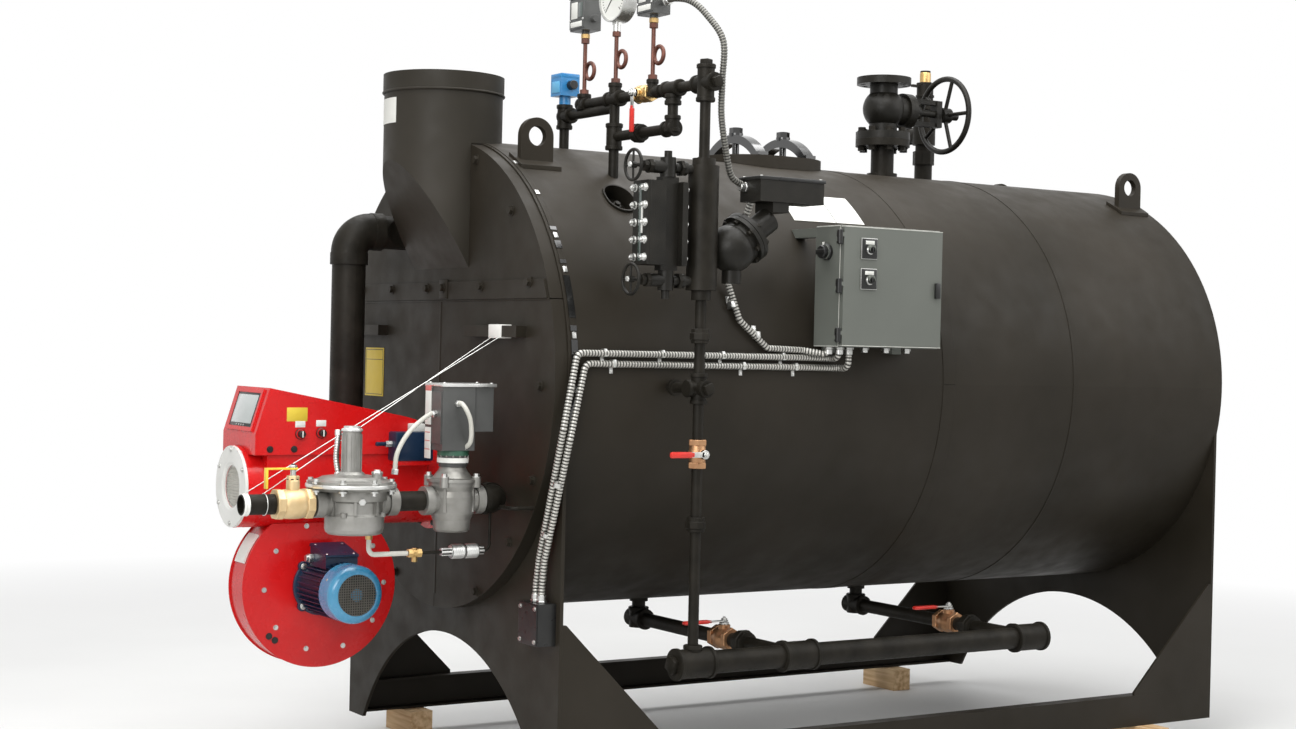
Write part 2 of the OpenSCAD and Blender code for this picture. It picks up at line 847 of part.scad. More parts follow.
// Panel housing on two brackets, with its knob on the side and the hinge pins
module control_panel_box() {
    color(panel_grey) difference() {
        box([panel_x, panel_y, panel_low], [panel_d, panel_w, panel_h]);
        box([panel_x + 8, panel_y + 8, panel_low + 8], [panel_d, panel_w - 16, panel_h - 16]);
    }
    color(panel_grey)
        box([panel_x + 8, panel_y + 40, panel_low + 40], [6, panel_w - 80, panel_h - 80]);
    color(cast_black) {
        translate([panel_x + panel_d / 2, panel_y, panel_low + panel_h - 86])
            along_front() cylinder(r = 24, h = 16);
        box([panel_x + panel_d / 2 - 22, panel_y - 30, panel_low + panel_h - 94], [44, 14, 16]);
        for (z = hinge_heights) {
            box([panel_x + panel_d - 14, panel_y - 4, z - 14], [14, 4, 28]);
            bar_z([hinge_x, hinge_y, z - 14], hinge_r, 13);
            box([panel_x + panel_d - 14, hinge_y - 4, z - 14], [22, 13, 13]);
            bar_z([hinge_x, hinge_y, z - 14], 3, 27);
        }
    }
    color(black) difference() {
        for (y = [panel_y + 50, panel_y + panel_w - 90])
            box([shell_r - 260, y, panel_low - 20], [panel_x - shell_r + 264, 40, 30]);
        shell_solid();
    }
    color(black) difference() {
        for (y = [panel_y + 50, panel_y + panel_w - 90])
            box([shell_r - 320, y, panel_low + panel_h - 30], [panel_x - shell_r + 324, 40, 30]);
        shell_solid();
    }
}

hinge_heights = [panel_low + 38, panel_low + panel_h / 2, panel_low + panel_h - 38];

// Panel door with its switches and latch
module control_panel_door() {
    face = panel_x + panel_d + seat;
    color(panel_grey) difference() {
        box([face, panel_y + 2, panel_low + 3], [door_t, panel_w - 4, panel_h - 6]);
        box([face - cut, panel_y + 12, panel_low + 13], [door_t - 2 + cut, panel_w - 24, panel_h - 26]);
    }
    color(cast_black) {
        for (z = hinge_heights) {
            difference() {
                bar_z([hinge_x, hinge_y, z + 0.5], hinge_r, 13);
                bar_z([hinge_x, hinge_y, z - 1], 3 + run, 20);
            }
            difference() {
                box([hinge_x, hinge_y - 4, z + 0.5], [face + door_t - hinge_x, 24, 13]);
                bar_z([hinge_x, hinge_y, z - 1], hinge_r - 1, 20);
                box([hinge_x - 5, panel_y + 2, z - 1], [5, 30, 20]);
            }
        }
        for (z = [panel_low + 193, panel_low + 292]) {
            box([face + door_t, panel_y + 74, z], [6, 58, 60]);
            translate([face + door_t + 6, panel_y + 103, z + 30]) along_x() cylinder(r = 13, h = 18);
        }
        box([face + door_t, panel_y + panel_w - 34, panel_low + 170], [12, 18, 48]);
    }
}

conduit_r = 11;
conduit_x = shell_r + conduit_r + 4;

// Point beside the front rim at an angle below the level, a gap away from the shell
function by_rim(angle, gap, y) = [(shell_r + gap) * cos(angle), y, -(shell_r + gap) * sin(angle)];

// Flexible conduits: two from the junction box round the rim to the panel, one from the float
// box to the panel along the shell, and the arch from the pressure switch to the float box
module conduits() {
    top = jbox_z + jbox_h + seat;
    front = -jbox_d / 2;
    float_y = cutoff_y + 156;
    side_x = shell_r + conduit_r + 2;
    color(zinc) {
        route([[jbox_x + 46, front, top], [jbox_x + 46, front, top + 50], by_rim(39, 97, front),
            by_rim(10.5, 37, -28), [conduit_x, 20, 84], [conduit_x, panel_y + 60, 84],
            [panel_x + 60, panel_y + 60, 84], [panel_x + 60, panel_y + 60, panel_low - seat]],
            conduit_r, 24);
        route([[jbox_x + 82, front, top], [jbox_x + 82, front, top + 44], by_rim(37.8, 124, front),
            by_rim(12.4, 47, -6), [conduit_x, 50, 52], [conduit_x, panel_y + 100, 52],
            [panel_x + 60, panel_y + 100, 52], [panel_x + 60, panel_y + 100, panel_low - seat]],
            conduit_r, 24);
        difference() {
            route([[column_x - 55 - seat, float_y, cutoff_z + 184], [column_x - 110, float_y, cutoff_z + 184],
                by_rim(-27.6, 73, float_y - 25), by_rim(-22.7, 25, float_y - 28), by_rim(-14.4, 15, float_y),
                by_rim(-8, 15.5, panel_y - 185), [side_x, panel_y - 45, 108],
                [panel_x + 48, panel_y + 25, 96], [panel_x + 48, panel_y + 25, panel_low + cut]],
                conduit_r, 18);
            box([panel_x, panel_y, panel_low - seat], [panel_d, panel_w, 40]);
        }
        route([[siphon_low[2] + 68 + seat, column_y, siphon_top + 62], [column_x - 120, column_y, siphon_top + 62],
            [column_x + 5, column_y + 58, header_z + 165], [column_x + 5, column_y + 58, header_z - 135],
            [column_x - 25, cutoff_y + 16, cutoff_z + 197], [column_x - 25, cutoff_y + 66 - seat, cutoff_z + 197]],
            conduit_r, 45);
    }
}

jbox_x = leg_x - 142;
jbox_z = -shell_r - 30;
jbox_w = 118;
jbox_h = 130;
jbox_d = 64;

module junction_box() {
    color(cast_black) {
        box([jbox_x, -jbox_d, jbox_z], [jbox_w, jbox_d - seat, jbox_h]);
        box([jbox_x + 3, -jbox_d - 4, jbox_z + 3], [jbox_w - 6, 4, jbox_h - 6]);
    }
}

// Vertical drain line under the column with its unions, cross and valve body
module drain_pipe() {
    pipe_r = trim_d / 2;
    color(cast_black) difference() {
        bar_x([shell_r - 60, column_y, tee_z], pipe_r, column_gap + 20);
        shell_solid();
    }
    translate([column_x, column_y, 0]) {
        color(cast_black) {
            bar_z([0, 0, blow_z + 56], pipe_r, tee_z - 46 - blow_z - 56);
            bar_z([0, 0, tee_z - 46], 24, 92 - seat);
            bar_x([-46, 0, tee_z], 24, 92);
            bar_x([46, 0, tee_z], 16, 14);
            bar_x([-column_gap + 20, 0, tee_z], 26, 12);
            bar_y([0, -46, tee_z], 24, 46);
            bar_z([0, 0, -460], 27, 44);
        }
        color(brass) {
            bar_z([0, 0, drain_valve_z - 44], 25, 88);
            bar_x([0, 0, drain_valve_z], 14, 36);
            bar_x([0, 0, drain_valve_z], 5, 56);
        }
    }
}

module drain_valve_lever() {
    color(burner_red) translate([column_x + 44, column_y, drain_valve_z])
        rotate([0, 90, 0]) rotate(90) ball_lever(122, 5, 8);
}

// Ball valve and union on a cross run at y, between the boiler's bottom and the header
module cross_run(y, r) {
    color(cast_black) {
        bar_x([0, y, blow_z], r, column_x);
        bar_x([blow_valve_x + 90, y, blow_z], r + 13, 50);
        bar_x([column_x - blow_d / 2 - 44, y, blow_z], r + 9, 44);
        bar_x([-46, y, blow_z], r + 9, 96);
        bar_z([0, y, blow_z - r - 8], r + 9, 70);
    }
    color(brass) {
        bar_x([blow_valve_x - 50, y, blow_z], r + 10, 100);
        bar_z([blow_valve_x, y, blow_z], 15, r + 24);
        bar_z([blow_valve_x, y, blow_z], 5, r + 44);
    }
}

// Header along the floor with the cross runs that drain the boiler's bottom
module blowdown_header() {
    run_r = 24.1;
    header_r = blow_d / 2;
    color(cast_black) {
        bar_y([column_x, column_y - 60, blow_z], header_r, rear_run_y - column_y + 60 + header_r);
        bar_y([column_x, column_y - 62, blow_z], header_r + 9, 124);
        bar_y([column_x, column_y - 84, blow_z], 24, 24);
        bar_z([column_x, column_y, blow_z], 26, 56 - seat);
        bar_y([column_x, front_run_y - 68, blow_z], header_r + 9, 136);
        bar_y([column_x, rear_run_y - 60, blow_z], header_r + 9, 120);
        difference() {
            union() {
                bar_z([0, front_run_y, blow_z], run_r, blow_gap + 52);
                bar_z([0, rear_run_y, blow_z], run_r, blow_gap + 52);
                bar_z([0, front_run_y, -shell_r - 16], run_r + 9, 30);
                bar_z([0, rear_run_y, -shell_r - 16], run_r + 9, 30);
            }
            shell_solid();
        }
    }
    cross_run(front_run_y, run_r);
    cross_run(rear_run_y, run_r);
}

module blowdown_lever(y) {
    color(burner_red) translate([blow_valve_x, y, blow_z + 24.1 + 32])
        rotate(90) ball_lever(158, 5, 9);
}

module front_blowdown_lever() { blowdown_lever(front_run_y); }
module rear_blowdown_lever() { blowdown_lever(rear_run_y); }

body_front = -cover_t - burner_l;

// Length of the casing round the air inlet, and the inlet's radius
intake_l = 55;
inlet_r = 68;

// Round casing of the air inlet, in front of the burner's body
module air_intake_casing() {
    color(burner_red) difference() {
        bar_y([0, body_front, fire_z], burner_d / 2, intake_l);
        bar_y([0, body_front - cut, fire_z], inlet_r, intake_l + 2 * cut);
    }
}

// Burner body: the air casing along the firing axis, its neck to the fan and the blast tube
module burner_body() {
    color(burner_red) {
        bar_y([0, body_front + intake_l + seat, fire_z], burner_d / 2, burner_l - 32 - intake_l - seat);
        box([-burner_d / 2, body_front + 60, fire_z - 40], [burner_d, burner_l - 160, 146]);
        box([-fan_t / 2 + 4, -fan_y - 130, fan_z + 100], [fan_t - 8, 300, fan_drop - 110]);
    }
    color(cast_black) {
        bar_y([0, -cover_t - 32, fire_z], burner_d / 2 + 22, 20);
        bar_y([0, -cover_t - 12, fire_z], burner_d / 2 - 8, 12 - seat);
        bar_y([0, -cover_t - 12, fire_z], blast_r, cover_t + 150);
    }
}

// Room that the burner's body takes, for the pieces that are seated on it
module burner_room() {
    bar_y([0, body_front - 80, fire_z], burner_d / 2 + seat, burner_l + 70);
}

// Round fan housing with its rim band and the front face
module fan_housing() {
    color(burner_red) translate([0, -fan_y, fan_z]) difference() {
        union() {
            translate([-fan_t / 2, 0, 0]) along_x() cylinder(r = fan_d / 2, h = fan_t, $fn = 96);
            translate([fan_t / 2 - 5, 0, 0]) along_x() cylinder(r = fan_d / 2 + 5, h = 5, $fn = 96);
            translate([-fan_t / 2, 0, 0]) along_x() cylinder(r = fan_d / 2 + 5, h = 5, $fn = 96);
        }
        box([-fan_t / 2 + 4 - seat, -130 - seat, 100 - seat], [fan_t - 8 + 2 * seat, 300 + 2 * seat, fan_d]);
        translate([0, fan_y, -fan_z]) burner_room();
    }
}

cover_half = 140;

// Sloped control housing on top of the burner body, seen from the side as one profile, with
// the display's frame on its leaning face and the two knobs on its side
module burner_control_cover() {
    top = fire_z + 318;
    low = fire_z + 106 + seat;
    front = body_front + 15;
    rear = -cover_t - 145;
    lean = [0, 45, 146] / norm([0, 45, 146]);
    color(burner_red) {
        difference() {
            rotate([90, 0, 90]) translate([0, 0, -cover_half]) linear_extrude(2 * cover_half)
                polygon([[front, low], [rear, low], [rear, top - 101], [rear - 38, top - 90],
                    [front + 45, top], [front, top - 146]]);
            burner_room();
        }
        frame_at([0, front + 22.5, top - 73], [1, 0, 0], lean, [0, -lean[2], lean[1]]) difference() {
            translate([-108, -70, -1]) cube([216, 140, 7]);
            translate([-94, -56, 3]) cube([188, 112, 9]);
        }
    }
    color(cast_black)
        for (place = [[-600, -194], [-529, -191]])
            translate([cover_half - 1, place[0], place[1]]) along_x() {
                cylinder(r = 15, h = 9);
                cylinder(r = 10, h = 22, $fn = 12);
            }
}

ring_t = 10;

// White ring round the air inlet
module air_inlet_ring() {
    color([0.86, 0.86, 0.84]) translate([0, body_front - seat, fire_z]) along_front() difference() {
        cylinder(r = 130, h = ring_t);
        translate([0, 0, -cut]) cylinder(r = inlet_r, h = 30);
        translate([0, 0, ring_t - 5]) cylinder(r1 = inlet_r, r2 = inlet_r + 12, h = 6);
    }
}

fin_count = 24;
cowl_l = 92;
cowl_bend = 38;

// Outline of the cowl as turned about its axis: straight side and a rounded end
function cowl_side(r) = concat([[0, 0], [r, 0]],
    [for (a = [0:15:90]) [r - cowl_bend + cowl_bend * cos(a), cowl_l - cowl_bend + cowl_bend * sin(a)]],
    [[0, cowl_l]]);

// Fan motor: eared flange, finned barrel, terminal box with its slanted lid, and the cowl
// with the grille in its end
module fan_motor() {
    barrel_r = motor_d / 2 - 18;
    fins_end = motor_l - cowl_l;
    grille_r = motor_d / 2 - 34;
    translate([fan_t / 2 + seat, -fan_y, fan_z]) along_x() {
        color([0.03, 0.09, 0.20]) {
            cylinder(r = motor_d / 2 - 2, h = 12);
            for (i = [0:3]) rotate(45 + i * 90) {
                translate([motor_d / 2 - 8, 0, 0]) cylinder(r = 17, h = 14);
                translate([motor_d / 2 - 8, 0, 14]) cylinder(r = 9, h = 9, $fn = 6);
            }
            translate([0, 0, 12]) cylinder(r = barrel_r, h = fins_end);
            for (i = [0:fin_count - 1]) rotate((i + 0.5) * 360 / fin_count)
                translate([barrel_r - 3, -2, 24]) cube([15, 4, fins_end - 30]);
            translate([-barrel_r + 4, -50, 44]) rotate([0, -90, 0]) rotate([0, 0, 90])
                translate([0, -120, 0]) cube([100, 120, 30]);
            translate([-barrel_r + 4, 54, 40]) rotate([90, 0, 0]) linear_extrude(108)
                polygon([[0, 0], [-62, 6], [-34, 126], [0, 126]]);
        }
        color([0.12, 0.42, 0.66]) translate([0, 0, fins_end]) difference() {
            rotate_extrude($fn = 72) polygon(cowl_side(motor_d / 2 - 6));
            translate([0, 0, cowl_l - 8]) cylinder(r = grille_r, h = 10);
        }
        color(cast_black) intersection() {
            translate([0, 0, motor_l - 9]) cylinder(r = grille_r + 1, h = 7);
            for (i = [-4:4], turn = [0, 90])
                rotate(turn) translate([i * 13 - 1.5, -grille_r - 2, motor_l - (turn > 0 ? 9 : 7)])
                    cube([3, 2 * grille_r + 4, 5]);
        }
    }
}

cock_y = -795;
cock_half = 58;
reg_y = -610;
safety_gas_y = -272;

elbow_r = 43;
elbow_bend = 50;
elbow_y = -cover_t - 66 - elbow_bend;
reg_front = -120;
reg_rear = 146;
pilot_z = gas_z - 159;

// Gas cock and the pipe behind it, up to the elbow that turns into the burner, the rod that
// steadies the elbow on the cover, and the pilot line below with its filter
module gas_piping() {
    pipe_r = gas_d / 2;
    color(cast_black) {
        bar_y([gas_x, cock_y + 50, gas_z], pipe_r - 2, reg_y + reg_front - cock_y - 50 - seat);
        bar_y([gas_x, reg_y + reg_rear + seat, gas_z], pipe_r,
            safety_gas_y - 100 - reg_y - reg_rear - 2 * seat);
        bar_y([gas_x, safety_gas_y + 100 + seat, gas_z], pipe_r + 5, elbow_y - safety_gas_y - 106);
        bar_y([gas_x, elbow_y - 10, gas_z], elbow_r + 5, 14);
        translate([gas_x - elbow_bend, elbow_y, gas_z])
            rotate_extrude(angle = 90) translate([elbow_bend, 0]) circle(r = elbow_r);
        bar_x([gas_x - elbow_bend - 18, elbow_y + elbow_bend, gas_z], elbow_r + 5, 22);
        difference() {
            bar_x([burner_d / 2 - 20, elbow_y + elbow_bend, gas_z], pipe_r, gas_x - elbow_bend - burner_d / 2 + 20);
            burner_room();
        }
        route([[gas_x, elbow_y + elbow_bend - 8, gas_z - 22], [gas_x + 108, elbow_y + elbow_bend - 8, gas_z - 22],
            [gas_x + 108, -cover_t - seat, gas_z - 22]], 6, 16);
        route([[gas_x, reg_y + 62, gas_z - 94 - seat], [gas_x, reg_y + 62, pilot_z],
            [gas_x, elbow_y + 22, pilot_z], [gas_x, elbow_y + 22, gas_z - 30]], 5, 20);
    }
    color(brass) {
        bar_y([gas_x, cock_y - cock_half, gas_z], pipe_r + 8, 2 * cock_half);
        for (y = [-cock_half, cock_half - 24])
            translate([gas_x, cock_y + y, gas_z]) along_y() rotate(22.5) cylinder(r = pipe_r + 14, h = 24, $fn = 8);
        translate([gas_x, cock_y, gas_z]) sphere(r = pipe_r + 13);
        bar_z([gas_x, cock_y, gas_z], 17, 74);
        bar_z([gas_x, cock_y, gas_z], 6, 118);
        bar_y([gas_x, -418, pilot_z], 12, 44);
        bar_z([gas_x, -396, pilot_z - 26], 8, 40);
    }
    color(castings) {
        bar_y([gas_x, -306, pilot_z], 12, 34);
        bar_y([gas_x, -274, pilot_z], 21, 44);
        bar_y([gas_x, -226, pilot_z], 21, 44);
        bar_y([gas_x, -235, pilot_z], 15, 14);
        bar_y([gas_x, -186, pilot_z], 12, 26);
    }
}

tie_x = [490, 440];
tie_foot_y = [-946, -884];
tie_r = 1.5;
wrap_t = 3;

// Pair of taut wires that hold the free end of the gas train up to the cover's bar, each
// looped round the nipple, with the wrapping that keeps them on the bar
module gas_train_ties() {
    loop_r = gas_d / 2 + tie_r + run;
    wrap_x = 425;
    wrap_l = 80;
    color([0.80, 0.80, 0.78]) difference() {
        box([wrap_x, -cover_t - 38 - seat - wrap_t, 128 - seat - wrap_t],
            [wrap_l, 38 + seat + wrap_t - 2, 36 + 2 * seat + 2 * wrap_t]);
        box([wrap_x - cut, -cover_t - 38 - seat, 128 - seat], [wrap_l + 2 * cut, 38 + cut, 36 + 2 * seat]);
    }
    color([0.25, 0.25, 0.24])
        for (i = [0, 1]) {
            foot = [gas_x - loop_r * 0.55, tie_foot_y[i], gas_z + loop_r * 0.835];
            head = [tie_x[i], -cover_t - 38 - seat - 1, 128 - seat - wrap_t + 1];
            aim(foot, unit(head - foot)) cylinder(r = tie_r, h = norm(head - foot), $fn = 16);
            translate([gas_x, tie_foot_y[i], gas_z]) along_y()
                rotate_extrude($fn = 48) translate([loop_r, 0]) circle(r = tie_r, $fn = 16);
        }
}

// Open nipple that the site's gas pipe is joined to
module gas_inlet_pipe() {
    length = cock_y - cock_half - seat - gas_low_y;
    color(cast_black) difference() {
        bar_y([gas_x, gas_low_y, gas_z], gas_d / 2, length);
        bar_y([gas_x, gas_low_y - cut, gas_z], gas_d / 2 - 4, length + 2 * cut);
    }
}

module gas_cock_handle() {
    color([0.85, 0.68, 0.10]) translate([gas_x, cock_y, gas_z + 101]) {
        rotate(90) {
            difference() {
                union() {
                    cylinder(r = 14, h = 5);
                    translate([-82, -10, 0]) cube([82, 20, 5]);
                }
                translate([0, 0, -1]) cylinder(r = 6 + run, h = 8);
            }
            translate([-86, -10, -56]) cube([5, 20, 61]);
        }
    }
}

diaphragm_r = 135;
body_set = 13;

// Regulator: ribbed body on its bowl, the two clamped flanges of the diaphragm case with their
// bolts, the low dome and the spring tower
module gas_regulator() {
    pipe_r = gas_d / 2;
    color(castings) translate([gas_x, reg_y, gas_z]) {
        for (y = [reg_front, reg_rear - 30]) bar_y([0, y, 0], pipe_r + 13, 30);
        bar_y([0, reg_front + 20, 0], pipe_r + 7, reg_rear - reg_front - 40);
        translate([0, body_set, 0]) {
            rotate_extrude($fn = 72) polygon([[0, -94], [78, -94], [86, -88], [89, -78], [89, -38], [84, -30], [84, 2],
                [96, 8], [96, 40], [0, 40]]);
            for (i = [0:7]) rotate(i * 45 + 22.5) translate([78, -4, -34]) cube([16, 8, 74]);
            for (i = [0:3]) rotate(i * 90 + 45) translate([88, 0, -40]) cylinder(r = 10, h = 14);
        }
        rotate_extrude($fn = 96) polygon([[0, 36], [diaphragm_r - 22, 36], [diaphragm_r, 46], [diaphragm_r, 57],
            [diaphragm_r - 7, 57], [diaphragm_r - 7, 66], [104, 70], [88, 78], [44, 84], [34, 92], [0, 92]]);
        for (i = [0:7]) rotate(i * 45 + 10) translate([diaphragm_r - 13, 0, 42]) {
            cylinder(r = 12, h = 20);
            translate([0, 0, 20]) cylinder(r = 7, h = 10, $fn = 6);
        }
        bar_z([0, 0, 88], 28.5, 126);
        for (i = [0:11]) rotate(i * 30) translate([26, -2, 92]) cube([5, 4, 112]);
        bar_z([0, 0, 212], 31, 8);
        bar_z([0, 0, 218], 24, 10);
        bar_z([66, 54, 70], 16, 22);
    }
}

// Safety shut-off valve: bulbous body on its bowl, flanged ends, bolted top with four ears, dome
module gas_safety_valve() {
    pipe_r = gas_d / 2;
    color(castings) translate([gas_x, safety_gas_y, gas_z]) {
        bar_y([0, -100, 0], pipe_r + 14, 26);
        bar_y([0, 74, 0], pipe_r + 14, 26);
        bar_y([0, -76, 0], pipe_r + 8, 152);
        rotate_extrude($fn = 60) polygon([[0, -96], [50, -96], [56, -90], [58, -60], [66, -40], [70, -7],
            [70, 11], [66, 30], [73, 46], [73, 60], [0, 60]]);
        for (i = [0:3]) rotate(i * 90 + 45) {
            translate([77, 0, 42]) cylinder(r = 14, h = 31);
            translate([77, 0, 72]) cylinder(r = 8, h = 9, $fn = 6);
            translate([52, -5, -34]) cube([19, 10, 84]);
        }
        rotate_extrude($fn = 60) polygon([[0, 57], [79, 57], [79, 66], [62, 70], [46, 90], [40, 104], [0, 104]]);
    }
}

drum_r = 48;

// Actuator drum on the shut-off valve, its terminal housing with the lid and the smaller box
module gas_valve_actuator() {
    foot = gas_z + 104 + seat;
    color([0.30, 0.31, 0.30]) translate([gas_x, safety_gas_y, foot]) {
        bar_z([0, 0, 0], drum_r - 4, 8);
        bar_z([0, 0, 8], drum_r, 18);
        bar_z([0, 0, 26], drum_r - 3, 6);
        bar_z([0, 0, 32], drum_r, 22);
        box([-62, -63, 50], [112, 111, 196]);
        box([-54, 48, 108], [98, 66, 138]);
        box([-66, -67, 246], [120, 186, 9]);
        box([-56, -66, 70], [100, 4, 160]);
    }
}

return_x = -220;
return_y = -285;
return_z = 480;

// Flue gas pipe from the smokebox cover down to the burner's air casing
module flue_gas_pipe() {
    pipe_r = 57.15;
    bend = 76;
    low = fire_z + 150;
    color(black) {
        difference() {
            bar_y([return_x, return_y + bend, return_z], pipe_r, -return_y - bend - cover_t - seat);
            translate([0, stack_y, boot_low]) cylinder(r = stack_r + seat, h = 500);
        }
        difference() {
            bar_y([return_x, return_y + bend, return_z], pipe_r + 7, 40);
            translate([0, stack_y, boot_low]) cylinder(r = stack_r + seat, h = 500);
        }
        translate([return_x, return_y + bend, return_z - bend]) rotate([0, -90, 0]) rotate(-90)
            rotate_extrude(angle = 90) translate([bend, 0]) circle(r = pipe_r + 5);
        bar_z([return_x, return_y, low], pipe_r, return_z - bend - low);
        bar_z([return_x, return_y, return_z - bend - 40], pipe_r + 7, 40);
        bar_z([return_x, return_y, fire_z - pipe_r], pipe_r, low - fire_z + pipe_r);
        bar_x([return_x, return_y, fire_z], pipe_r, -return_x - burner_d / 2 - seat);
    }
}

place() shell_jacket();
place() front_plate();
place() rear_plate();
place() rear_door();
place() upper_front_cover();
place() lower_cover(-1);  // lower_cover_left
place() lower_cover(1);  // lower_cover_right
place() base_rail(-1);  // base_rail_left
place() base_rail(1);  // base_rail_right
place() corner_gussets();
place() timber_blocks();
place() flue_stack();
place() lifting_lugs();
place() handhole();
place() manhole_ring();
place() manhole_yokes();
place() steam_nozzle();
place() steam_valve_body();
place() steam_valve_bonnet();
place() steam_valve_handwheel();
place() safety_valve();
place() water_column();
place() gauge_valves();
place() gauge_glass();
place() gauge_handwheel(upper_valve_z);  // upper_gauge_handwheel
place() gauge_handwheel(lower_valve_z);  // lower_gauge_handwheel
place() low_water_cutoff();
place() trim_header();
place() header_valve_lever();
place() siphon_tubes();
place() pressure_gauge();
place() pressure_switches();
place() pressure_transmitter();
place() control_panel_box();
place() control_panel_door();
place() conduits();
place() junction_box();
place() drain_pipe();
place() drain_valve_lever();
place() blowdown_header();
place() front_blowdown_lever();
place() rear_blowdown_lever();
place() burner_body();
place() fan_housing();
place() burner_control_cover();
place() air_intake_casing();
place() air_inlet_ring();
place() fan_motor();
place() gas_inlet_pipe();
place() gas_piping();
place() gas_cock_handle();
place() gas_regulator();
place() gas_safety_valve();
place() gas_valve_actuator();
place() gas_train_ties();
place() flue_gas_pipe();
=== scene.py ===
import math

import bmesh
import bpy
from mathutils import Matrix, Vector


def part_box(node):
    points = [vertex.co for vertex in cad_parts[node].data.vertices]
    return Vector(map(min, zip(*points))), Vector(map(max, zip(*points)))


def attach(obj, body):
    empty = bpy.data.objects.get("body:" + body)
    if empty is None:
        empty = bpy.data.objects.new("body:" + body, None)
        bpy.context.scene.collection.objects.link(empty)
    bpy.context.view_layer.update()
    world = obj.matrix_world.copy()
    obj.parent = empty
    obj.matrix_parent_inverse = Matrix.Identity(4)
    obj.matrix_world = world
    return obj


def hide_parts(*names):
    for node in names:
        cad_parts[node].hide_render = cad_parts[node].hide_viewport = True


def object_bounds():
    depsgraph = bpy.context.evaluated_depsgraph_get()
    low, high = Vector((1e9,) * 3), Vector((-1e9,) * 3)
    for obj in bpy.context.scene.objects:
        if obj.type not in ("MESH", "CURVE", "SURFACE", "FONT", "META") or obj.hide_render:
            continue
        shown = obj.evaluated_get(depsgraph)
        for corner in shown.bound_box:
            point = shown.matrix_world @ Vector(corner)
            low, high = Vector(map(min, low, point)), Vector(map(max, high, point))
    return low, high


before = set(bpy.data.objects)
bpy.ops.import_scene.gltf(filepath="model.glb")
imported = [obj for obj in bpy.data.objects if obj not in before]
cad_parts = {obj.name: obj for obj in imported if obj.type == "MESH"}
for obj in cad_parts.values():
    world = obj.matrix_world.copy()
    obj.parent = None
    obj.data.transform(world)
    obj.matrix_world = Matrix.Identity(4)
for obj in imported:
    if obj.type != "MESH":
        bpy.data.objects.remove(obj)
CAD_BOX = [list(corner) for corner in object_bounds()]

# The boiler's own frame, in millimetres: the axis is x = 0, z = 0, and the front plate's face is y = 0
MM = 0.001
SHELL_LOW, SHELL_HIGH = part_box("shell_jacket")
PLATE_T = 12.0
AXIS = Vector(((SHELL_LOW.x + SHELL_HIGH.x) / 2, SHELL_LOW.y - PLATE_T * MM,
               (SHELL_LOW.z + SHELL_HIGH.z) / 2))
SHELL_R = (SHELL_HIGH.x - SHELL_LOW.x) / 2 / MM
OWN = Matrix.Translation(AXIS) @ Matrix.Scale(MM, 4)

X, Y, Z = Vector((1, 0, 0)), Vector((0, 1, 0)), Vector((0, 0, 1))
FRONT = Vector((0, -1, 0))


def span(node):
    """Lowest and highest corner of a CAD node, in the boiler's own frame and millimetres."""
    low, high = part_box(node)
    return (low - AXIS) / MM, (high - AXIS) / MM


def middle(node):
    """Middle of a CAD node's box."""
    low, high = span(node)
    return (low + high) / 2


# Camera, at the photograph's viewing angle
CAMERA_PLACE = Vector((6043.2, -3073.9, 102.5))
CAMERA_YAW, CAMERA_PITCH, CAMERA_ROLL = math.radians(57.396), math.radians(-0.4623), math.radians(-1.3219)
CAMERA_LENS = 55.31
CAMERA_SEES = 100


def placed(name, data):
    """New object with its data, in the scene."""
    thing = bpy.data.objects.new(name, data)
    bpy.context.scene.collection.objects.link(thing)
    return thing


def add_camera():
    """Stands the camera by its yaw, from +Y towards -X, its pitch and its roll."""
    ahead = Vector((-math.sin(CAMERA_YAW) * math.cos(CAMERA_PITCH),
                    math.cos(CAMERA_YAW) * math.cos(CAMERA_PITCH), math.sin(CAMERA_PITCH)))
    level = Vector((math.cos(CAMERA_YAW), math.sin(CAMERA_YAW), 0))
    below = ahead.cross(level)
    right = math.cos(CAMERA_ROLL) * level + math.sin(CAMERA_ROLL) * below
    down = -math.sin(CAMERA_ROLL) * level + math.cos(CAMERA_ROLL) * below
    camera = placed("camera", bpy.data.cameras.new("camera"))
    camera.data.lens = CAMERA_LENS
    camera.data.clip_end = CAMERA_SEES
    turn = Matrix((right, -down, -ahead)).transposed().to_4x4()
    camera.matrix_world = Matrix.Translation(OWN @ CAMERA_PLACE) @ turn
    bpy.context.scene.camera = camera


add_camera()


# Finishes

def feed(tree, node, feeds):
    """Sets inputs of a node; a feed is a plain value, a socket, or a node whose first output is taken."""
    for key, value in feeds.items():
        if isinstance(value, bpy.types.Node):
            value = value.outputs[0]
        if isinstance(value, bpy.types.NodeSocket):
            tree.links.new(value, node.inputs[key])
        else:
            node.inputs[key].default_value = value


def add_node(tree, kind, feeds=None, **settings):
    """Adds a node with its settings and its inputs."""
    made = tree.nodes.new(kind)
    for key, value in settings.items():
        setattr(made, key, value)
    feed(tree, made, feeds or {})
    return made


def new_material(name):
    made = bpy.data.materials.new(name)
    made.use_nodes = True
    return made, made.node_tree, made.node_tree.nodes["Principled BSDF"]


def noise(tree, scale, detail, stretch=None):
    """Noise on Object coordinates."""
    place = add_node(tree, "ShaderNodeTexCoord").outputs["Object"]
    if stretch:
        place = add_node(tree, "ShaderNodeMapping", {"Scale": stretch, "Vector": place})
    return add_node(tree, "ShaderNodeTexNoise", {"Scale": scale, "Detail": detail, "Vector": place})


